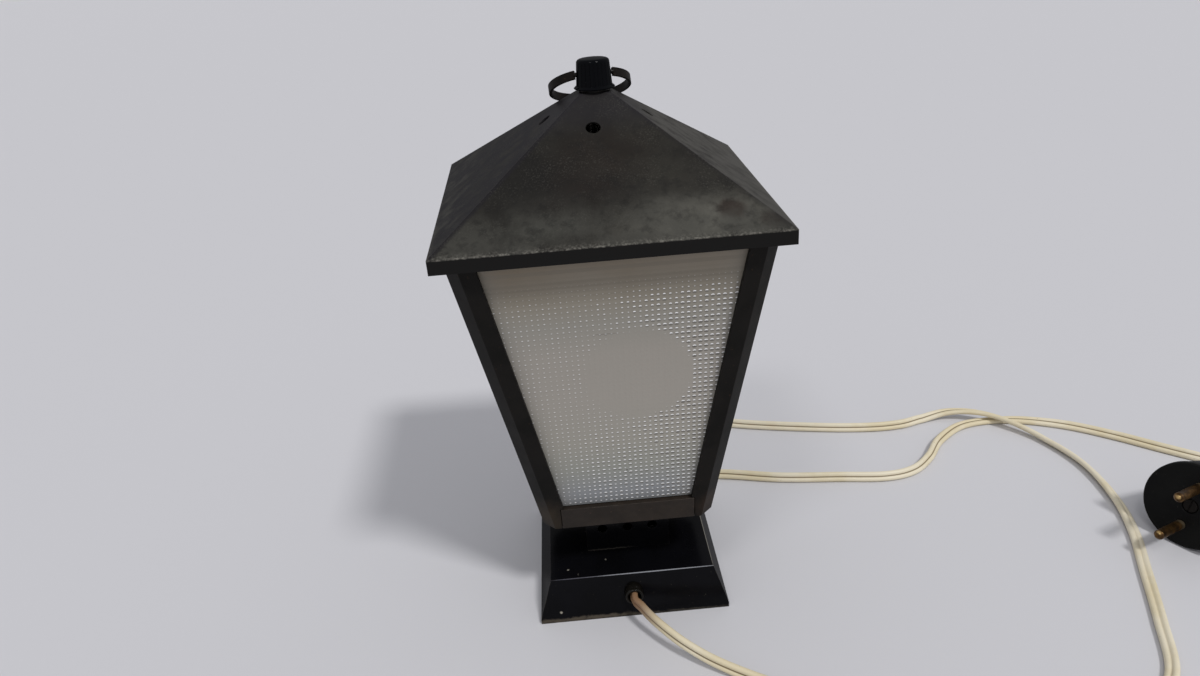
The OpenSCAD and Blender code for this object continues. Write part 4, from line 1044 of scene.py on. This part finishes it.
@dataclass
class Cord:
    """The flat twin cord, from its clamp in the base to the inside of the plug.

    Each stop of its two routes is a point and the degrees by which the cord is rolled on its edge.
    """

    width: float = 4.8
    thick: float = 2.5
    start: Point = (0, -15, 10.3)
    through: Point = (0, -26, 10.3)
    outside: Point = (0, -39.4, 10.3)
    coil_at: tuple[float, float] = (2, 87.5)
    coil_radius: float = 32.5
    coil_pitch: float = 5.6
    coil_turns: float = 4.5
    coil_lift: float = 3.1
    coil_steps: int = 24
    coil_lead: float = 12.0
    table_z: float = 1.4
    plug_at: Point = (234.8, -26.2, 18.8884)
    plug_axis: Point = (-0.857133, -0.484943, 0.173648)
    mouth_behind: float = 50.5
    sleeve_inside: float = 10.0
    end_behind: float = 21.5
    curve_steps: int = 10
    step: float = 1.6
    groove_turn: float = 144.0
    lobe_steps: int = 6
    route_out: list[Stop] = field(default_factory=lambda: [
        (0, -40.2, 10.3, -86), (2.2, -44.5, 10.1, -87), (5, -49.5, 9.6, -87), (9.5, -55.5, 8.6, -86),
        (15, -61.5, 7.2, -84), (21, -66.5, 5.6, -82), (28, -71.5, 4.2, -78), (39, -78, 2.6, -70),
        (56, -88, 1.8, -56), (80, -100, 1.4, -30), (110, -110, 1.4, 10), (142, -113, 1.4, 20), (168, -108, 1.4, 20),
        (186, -94, 1.4, 18), (198, -69, 1.4, 12), (209, -43, 1.4, 6), (219, -19, 1.4, -8), (225, 5, 1.4, -30),
        (226, 32, 1.5, -46), (219, 56, 2.4, -44), (208, 72, 4.5, -34), (196, 82, 5.2, -20), (182, 87, 4.2, 6),
        (168, 86, 2.2, 38), (154, 82, 1.4, 58), (136, 82, 1.4, 62), (108, 87, 1.4, 62), (68, 98, 1.4, 56),
        (44, 111, 1.4, 28), (22, 119.5, 1.4, 4),
    ])
    route_in: list[Stop] = field(default_factory=lambda: [
        (22, 54.5, 3.2, 0), (38, 54, 1.6, -20), (55, 51, 1.4, -46), (80, 44, 1.4, -60), (108, 40, 1.4, -60),
        (130, 37, 1.4, -58), (145, 40, 1.4, -54), (157, 50, 1.4, -46), (168, 64, 1.4, -40), (184, 76, 1.4, -16),
        (201, 79, 1.4, 0), (218, 76, 1.4, -16), (237, 67, 1.4, -36), (254, 54, 1.4, -42), (268, 41, 1.4, -42),
        (277.5, 32.5, 1.5, -40), (288, 23.4, 2.4, -30), (292.2, 16.6, 4.2, -20), (291.4, 8.6, 6.6, -10),
        (286, 2.8, 8.5, 2),
    ])

    def coil(self) -> list[Vector]:
        """The coil's turns: in along the table, a climb, and out on top.

        Returns:
            The points of the turns, in millimetres.
        """
        turns = []
        count = int(self.coil_turns * self.coil_steps)
        for k in range(count + 1):
            done = k / self.coil_steps
            out = abs(done - self.coil_turns / 2)
            radius = self.coil_radius - self.coil_pitch * (self.coil_turns / 2 - out)
            climb = min(max((done - self.coil_turns / 2) * 2 + 0.5, 0), 1)
            angle = math.radians(90 + 360 * done)
            turns.append(Vector((
                self.coil_at[0] + radius * math.cos(angle), self.coil_at[1] + radius * math.sin(angle),
                self.table_z + self.coil_lift * climb * climb * (3 - 2 * climb),
            )))
        return turns

    def line(self) -> list[Vector]:
        """The whole centreline at even steps, in millimetres, with its roll in degrees as the fourth value.

        Returns:
            The points of the line.
        """
        axis = Vector(self.plug_axis)
        mouth, end = (Vector(self.plug_at) - behind * axis for behind in (self.mouth_behind, self.end_behind))
        coil = self.coil()
        ease = Vector((self.coil_lead, 0, 0))
        points = [
            *self.unrolled(Vector(self.start), Vector(self.through)), *map(Vector, self.route_out),
            *self.unrolled(coil[0] + ease, *coil, coil[-1] + ease), *map(Vector, self.route_in),
            *self.unrolled(mouth, mouth + self.sleeve_inside * axis, end),
        ]
        made = even_line(smooth_line(points, self.curve_steps), self.step)
        for p in made:
            p.z = max(p.z, self.table_z + (self.width - self.thick) / 2 * abs(math.sin(math.radians(p.w))))
        return made

    @staticmethod
    def unrolled(*points: Vector) -> list[Vector]:
        """Points at which the cord lies flat."""
        return [Vector((*p, 0.0)) for p in points]

    def outline(self) -> list[Point]:
        """Half-round lobes with a groove between: across, up and how deep in the groove.

        Returns:
            The points round the cord's section, in millimetres.
        """
        lobe = self.thick / 2
        apart = self.width / 2 - lobe
        points = []
        for side in (1, -1):
            for k in range(-self.lobe_steps, self.lobe_steps + 1):
                angle = math.radians(k * self.groove_turn / self.lobe_steps)
                across = side * (apart + lobe * math.cos(angle))
                points.append((across, side * lobe * math.sin(angle), 1.0 if abs(k) == self.lobe_steps else 0.0))
        return points

    def build(self, finish: Material, carried: Sequence[Piece]) -> None:
        """Args:
            finish: Its material.
            carried: The pieces that sit on it: its bush and its plug. Not used.
        """
        rolled = self.line()
        line, rolls = [p.to_3d() for p in rolled], [p.w for p in rolled]
        outline = self.outline()
        count, rings = len(outline), len(line)
        points, along, deep = [], [], []
        run = 0.0
        for i, p in enumerate(line):
            ahead = (line[min(i + 1, rings - 1)] - line[max(i - 1, 0)]).normalized()
            flat = Vector((0, 0, 1)).cross(ahead).normalized()
            roll = Matrix.Rotation(-math.radians(rolls[i]), 3, ahead)
            side, up = roll @ flat, roll @ ahead.cross(flat)
            run += (p - line[i - 1]).length if i else 0.0
            for across, rise, groove in outline:
                points.append((p + across * side + rise * up) * MM)
                along.append(run * MM)
                deep.append(groove)
        faces = [
            (i * count + j, (i + 1) * count + j, (i + 1) * count + (j + 1) % count, i * count + (j + 1) % count)
            for i in range(rings - 1) for j in range(count)
        ]
        faces += [tuple(range(count)), tuple((rings - 1) * count + j for j in reversed(range(count)))]
        made = mesh_object("flat_cord", points, faces)
        layer = made.data.uv_layers.new(name="cord")
        for corner in made.data.loops:
            layer.data[corner.index].uv = (deep[corner.vertex_index], along[corner.vertex_index])
        outward(made)
        paint(made, finish)
        settle(made, "lamp", ["cord_to_coil", "cord_coil", "cord_to_plug"])
        LOG.info("the cord is %.0f mm long from its clamp to the plug", run)


def smooth_line(points: Sequence[Vector], steps: int) -> list[Vector]:
    """Joins points by one smooth curve.

    Args:
        points: The points to pass through.
        steps: Stretches between two points.

    Returns:
        The curve's points.
    """
    made = []
    last = len(points) - 1
    for i in range(last):
        a, b = points[max(i - 1, 0)], points[i]
        c, d = points[i + 1], points[min(i + 2, last)]
        for j in range(steps):
            t = j / steps
            made.append(0.5 * (2 * b + (c - a) * t + (2 * a - 5 * b + 4 * c - d) * t * t
                               + (3 * b - a - 3 * c + d) * t * t * t))
    made.append(points[-1])
    return made


def even_line(points: Sequence[Vector], step: float) -> list[Vector]:
    """Puts points at even steps along a line; a fourth value, such as a roll, is carried along.

    Args:
        points: The line's points.
        step: The distance between the new points, in the same unit.

    Returns:
        The new points, the first and last of the line among them.
    """
    lengths = [0.0]
    for a, b in zip(points, points[1:]):
        lengths.append(lengths[-1] + (b - a).to_3d().length)
    count = max(round(lengths[-1] / step), 1)
    made, i = [], 0
    for k in range(count + 1):
        want = lengths[-1] * k / count
        while i < len(points) - 2 and lengths[i + 1] < want:
            i += 1
        span = lengths[i + 1] - lengths[i]
        made.append(points[i].lerp(points[i + 1], (want - lengths[i]) / span if span else 0.0))
    return made


@dataclass
class Plug:
    """The round plug's moulded halves and its two pins."""

    moulded_edge: float = 0.5
    pin_edge: float = 0.4

    def build(self, plastic: Material, brass: Material) -> list[Piece]:
        """Rounds the plug's pieces.

        Args:
            plastic: The finish of its face and cover.
            brass: The finish of its pins.

        Returns:
            Everything of the plug that is handed to the cord.
        """
        face, cover = (
            formed(node, self.moulded_edge, plastic, "lamp") for node in ("plug_face", "plug_cover")
        )
        pins = formed("plug_pins", self.pin_edge, brass, "lamp")
        return [face, cover, pins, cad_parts["plug_screw"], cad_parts["plug_sleeve"]]


@dataclass
class Bush:
    """The rubber bush in the base's front: a round lip with a rounded mouth on a neck through the wall."""

    lip: float = 3.8
    lip_length: float = 6.0
    neck: float = 2.95
    bore: float = 2.6
    tip_reach: float = 0.1
    steps: int = 8
    sides: int = 40

    def build(self, finish: Material) -> Piece:
        """Turns the bush's outline about its own axis.

        Args:
            finish: Its material.

        Returns:
            The bush.
        """
        spots = [v.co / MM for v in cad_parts["cord_bush"].data.vertices]
        tip, back = min(p.y for p in spots), max(p.y for p in spots)
        at_tip = [p.z for p in spots if p.y < tip + self.tip_reach]
        height = (min(at_tip) + max(at_tip)) / 2
        wall = (self.lip - self.bore) / 2
        lip_end = tip + self.lip_length
        outline = [(back, self.bore), (back, self.neck), (lip_end, self.neck), (lip_end, self.lip)]
        for k in range(self.steps + 1):
            angle = math.pi * k / self.steps
            outline.append((tip + wall * (1 - math.sin(angle)), self.bore + wall * (1 + math.cos(angle))))
        count = len(outline)
        points = [
            (r * math.cos(turn) * MM, y * MM, (height + r * math.sin(turn)) * MM)
            for turn in (2 * math.pi * s / self.sides for s in range(self.sides)) for y, r in outline
        ]
        faces = [
            (s * count + j, s * count + (j + 1) % count, (s + 1) % self.sides * count + (j + 1) % count,
             (s + 1) % self.sides * count + j)
            for s in range(self.sides) for j in range(count)
        ]
        made = mesh_object("round_bush", points, faces)
        outward(made)
        paint(made, finish)
        return settle(made, "lamp", ["cord_bush"])


# The lantern


@dataclass
class DottedPanels:
    """Four styrene sheets, each with its rows of pressed dots."""

    pitch: float = 2.0
    dot_radius: float = 0.8
    dot_height: float = 0.06
    dot_sunk: float = 0.01
    dot_sides: int = 10
    top_margin: float = 8.0
    side_margin: float = 1.2
    foot_margin: float = 1.5
    sheet_edge: float = 0.3
    end_reach: float = 0.5

    def build(self, finish: Material) -> None:
        """Builds all four panels.

        Args:
            finish: The material of the dotted sheets.
        """
        tree = self.dot_tree()
        for k, side in enumerate(SIDES):
            self.panel(side, math.radians(90 * k), tree, finish)

    def corners(self) -> tuple[float, float, float, float, float, float]:
        """Reads the front panel's outer face from the frame.

        Returns:
            Half widths at foot and top, heights of foot and top, and outer faces' distance at each.
        """
        points = [v.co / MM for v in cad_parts["panel_front"].data.vertices]
        low = min(p.z for p in points)
        high = max(p.z for p in points)
        foot = [p for p in points if p.z < low + self.end_reach]
        head = [p for p in points if p.z > high - self.end_reach]
        return (max(p.x for p in foot), max(p.x for p in head), low, high,
                max(-p.y for p in foot), max(-p.y for p in head))

    def dot_tree(self) -> Tree:
        """Builds the tree that sets rows of lens-shaped dots on a sheet.

        Returns:
            The tree, with its sizes as named inputs.
        """
        tree = bpy.data.node_groups.new("pressed_dots", "GeometryNodeTree")
        face = tree.interface
        for kind, names in (
            ("Float", ("Width", "Height", "Half Foot", "Widening", "Dot Radius", "Dot Height")),
            ("Int", ("Columns", "Rows", "Dot Sides")), ("Material", ("Finish",)),
        ):
            for name in names:
                face.new_socket(name=name, in_out="INPUT", socket_type=f"NodeSocket{kind}")
        face.new_socket(name="Geometry", in_out="OUTPUT", socket_type="NodeSocketGeometry")
        given = add(tree, "NodeGroupInput").outputs
        grid = add(tree, "GeometryNodeMeshGrid", {
            "Size X": given["Width"], "Size Y": given["Height"],
            "Vertices X": given["Columns"], "Vertices Y": given["Rows"],
        })
        place = add(tree, "ShaderNodeSeparateXYZ", {0: add(tree, "GeometryNodeInputPosition").outputs[0]}).outputs
        above = maths(tree, "ADD", place["Y"], maths(tree, "MULTIPLY", given["Height"], 0.5))
        wide = maths(tree, "MULTIPLY_ADD", above, given["Widening"], given["Half Foot"])
        outside = maths(tree, "GREATER_THAN", maths(tree, "ABSOLUTE", place["X"]), wide)
        points = add(tree, "GeometryNodeMeshToPoints", {"Mesh": grid.outputs["Mesh"]})
        kept = add(tree, "GeometryNodeDeleteGeometry", {"Geometry": points.outputs[0], "Selection": outside},
                   domain="POINT")
        lens = add(tree, "GeometryNodeMeshCone", {
            "Vertices": given["Dot Sides"], "Radius Top": 0.0, "Radius Bottom": 1.0, "Depth": 1.0,
        })
        radius, height = given["Dot Radius"], given["Dot Height"]
        size = add(tree, "ShaderNodeCombineXYZ", {0: radius, 1: radius, 2: height})
        dots = add(tree, "GeometryNodeInstanceOnPoints", {
            "Points": kept.outputs[0], "Instance": lens.outputs["Mesh"], "Scale": size.outputs[0],
        })
        real = add(tree, "GeometryNodeRealizeInstances", {0: dots.outputs[0]})
        dressed = add(tree, "GeometryNodeSetMaterial", {0: real.outputs[0], "Material": given["Finish"]})
        add(tree, "NodeGroupOutput", {0: dressed.outputs[0]})
        return tree

    def panel(self, side: str, turn: float, tree: Tree, finish: Material) -> None:
        """Builds one panel.

        Args:
            side: The side of the lantern.
            turn: Its turn from the front, in radians.
            tree: The tree of the dots.
            finish: Its material.
        """
        half_foot, half_head, low, high, foot_y, head_y = self.corners()
        slope = math.hypot(high - low, head_y - foot_y)
        widening = (half_head - half_foot) / slope
        rise = slope - self.foot_margin - self.top_margin
        rows = int(rise // self.pitch) + 1
        columns = 2 * int((half_head - self.side_margin) // self.pitch) + 1
        node = f"panel_{side}"
        carrier = mesh_object("dots", [(0, 0, 0)], [])
        dots = carrier.modifiers.new("dots", "NODES")
        dots.node_group = tree
        values = {
            "Width": (columns - 1) * self.pitch, "Height": (rows - 1) * self.pitch, "Columns": columns, "Rows": rows,
            "Half Foot": half_foot - self.side_margin, "Widening": widening, "Dot Radius": self.dot_radius,
            "Dot Height": self.dot_height, "Dot Sides": self.dot_sides, "Finish": finish,
        }
        for item in tree.interface.items_tree:
            if item.in_out == "INPUT":
                dots[item.identifier] = values[item.name]
        evaluated(carrier)
        stand = Matrix.Rotation(math.pi / 2 + math.atan2(head_y - foot_y, high - low), 4, "X")
        to_front = Matrix.Translation(Vector((0, -foot_y, low))) @ stand
        lift = Matrix.Translation(Vector((0, self.foot_margin + (rows - 1) * self.pitch / 2, -self.dot_sunk)))
        around = Matrix.Scale(MM, 4) @ Matrix.Rotation(turn, 4, "Z") @ to_front
        carrier.data.transform(around @ lift)
        sheet = rounded(node, f"dotted_{node}", self.sheet_edge, 1)
        paint(sheet, finish)
        press_in(sheet, carrier)
        back = around.inverted()
        for name in ("sheet_mm", "half_mm"):
            sheet.data.uv_layers.new(name=name)
        for corner in sheet.data.loops:
            p = back @ sheet.data.vertices[corner.vertex_index].co
            sheet.data.uv_layers["sheet_mm"].data[corner.index].uv = (p.x, p.y - self.foot_margin)
            sheet.data.uv_layers["half_mm"].data[corner.index].uv = (half_foot + widening * p.y, 0.0)
        settle(sheet, "lamp", [node])


def press_in(sheet: Piece, dots: Piece) -> None:
    """Joins the dots and their sheet into one closed skin, with a crisp line round each dot.

    The sheet's stored normals go first, because they don't fit the new skin.

    Args:
        sheet: The sheet, which stays.
        dots: The dots, which are removed.
    """
    stored = sheet.data.attributes.get("custom_normal")
    if stored:
        sheet.data.attributes.remove(stored)
    union = sheet.modifiers.new("dots", "BOOLEAN")
    union.operation = "UNION"
    union.solver = "MANIFOLD"
    union.object = dots
    skin = evaluated(sheet).data
    skin.shade_smooth()
    skin.set_sharp_from_angle(angle=CREASE)
    skin.polygons.foreach_set("material_index", [0] * len(skin.polygons))
    bpy.data.objects.remove(dots)


@dataclass
class Lantern:
    """Posts, rails, roof, neck and base: bent sheet and moulded shells with rounded edges."""

    sheet_edge: float = 0.22
    roof_edge: float = 0.45
    neck_edge: float = 0.5
    base_edge: float = 0.6
    base_segments: int = 3
    knob_edge: float = 0.1
    ring_edge: float = 0.12
    roof_half: float = 57.5
    rear_left: Point = (-2.9, 0.0, 1.6)

    def build(self, finishes: dict[str, Material]) -> None:
        """Rounds and dresses the main pieces.

        Args:
            finishes: Materials by the finish's name.
        """
        for corner in ("front_left", "front_right", "back_right", "back_left"):
            formed(f"post_{corner}", self.sheet_edge, finishes["post"], "lamp")
        for side in SIDES:
            formed(f"rail_{side}", self.sheet_edge, finishes["rail"], "lamp")
        self.bend_roof(formed("roof", self.roof_edge, finishes["roof"], "roof"))
        formed("finial_knob", self.knob_edge, finishes["knob"], "knob")
        formed("ring_bail", self.ring_edge, finishes["strip"], "ring")
        formed("neck_housing", self.neck_edge, finishes["neck"], "lamp")
        formed("base_shell", self.base_edge, finishes["base"], "lamp", self.base_segments)

    def bend_roof(self, roof: Piece) -> None:
        """Bends the roof's rear left corner out and up a little, as handling has bent the real one.

        Args:
            roof: The dressed roof.
        """
        for vertex in roof.data.vertices:
            x, y = vertex.co.x / MM / self.roof_half, vertex.co.y / MM / self.roof_half
            share = min(max(-x, 0.0), 1.0) * min(max((y + 1) / 2, 0.0), 1.0)
            vertex.co += Vector(self.rear_left) * share * MM
        roof.data.update()


@dataclass
class CarriedNodes:
    """The nodes whose own shape is right: they keep it and get their finish."""

    groups: dict[str, tuple[str, ...]] = field(default_factory=lambda: {
        "steel": ("cover_screws", "clamp_screws", "neck_bolts", "neck_nuts", "floor_screws", "floor_nuts",
                  "strap_screws", "roof_stud", "stud_nuts", "bulb_filament"),
        # Painted shade: nearly black, as they sit in the dark of the neck and of the plug's recess
        "dull": ("holder_bracket", "plug_screw"),
        "board": ("base_cover", "cord_clamp"),
        "inner": ("floor_plate", "top_frame", "top_strap"),
        "strip": ("knob_washer",),
        "contact": ("knob_insert", "holder_rivet", "screw_shell", "spring_contact", "holder_terminals"),
        "bush": ("plug_sleeve",),
        "porcelain": ("holder_body",),
        "opal": ("bulb_glass",),
        "cap": ("bulb_cap",),
        "insulator": ("bulb_contact",),
        "wire": ("inner_wires",),
    })

    def build(self, finishes: dict[str, Material]) -> None:
        """Dresses every node that still shows.

        Args:
            finishes: Each finish's material, by its name.
        """
        for finish, names in self.groups.items():
            for name in names:
                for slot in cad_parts[name].material_slots:
                    slot.material = finishes[finish]


def main() -> None:
    """Builds the stage and every piece of the lamp."""
    logging.basicConfig(level=logging.INFO, format="%(name)s: %(message)s")
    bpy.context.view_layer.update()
    Camera().build()
    built = {name: finish.build() for name, finish in FINISHES.items()}
    bush = Bush().build(built["bush"])
    Cord().build(built["cord"], [bush, *Plug().build(built["plug"], built["brass"])])
    Studio().build()
    DottedPanels().build(built["panel"])
    Lantern().build(built)
    CarriedNodes().build(built)
    bpy.context.scene.view_settings.view_transform = "Standard"


if __name__ == "__main__":
    main()
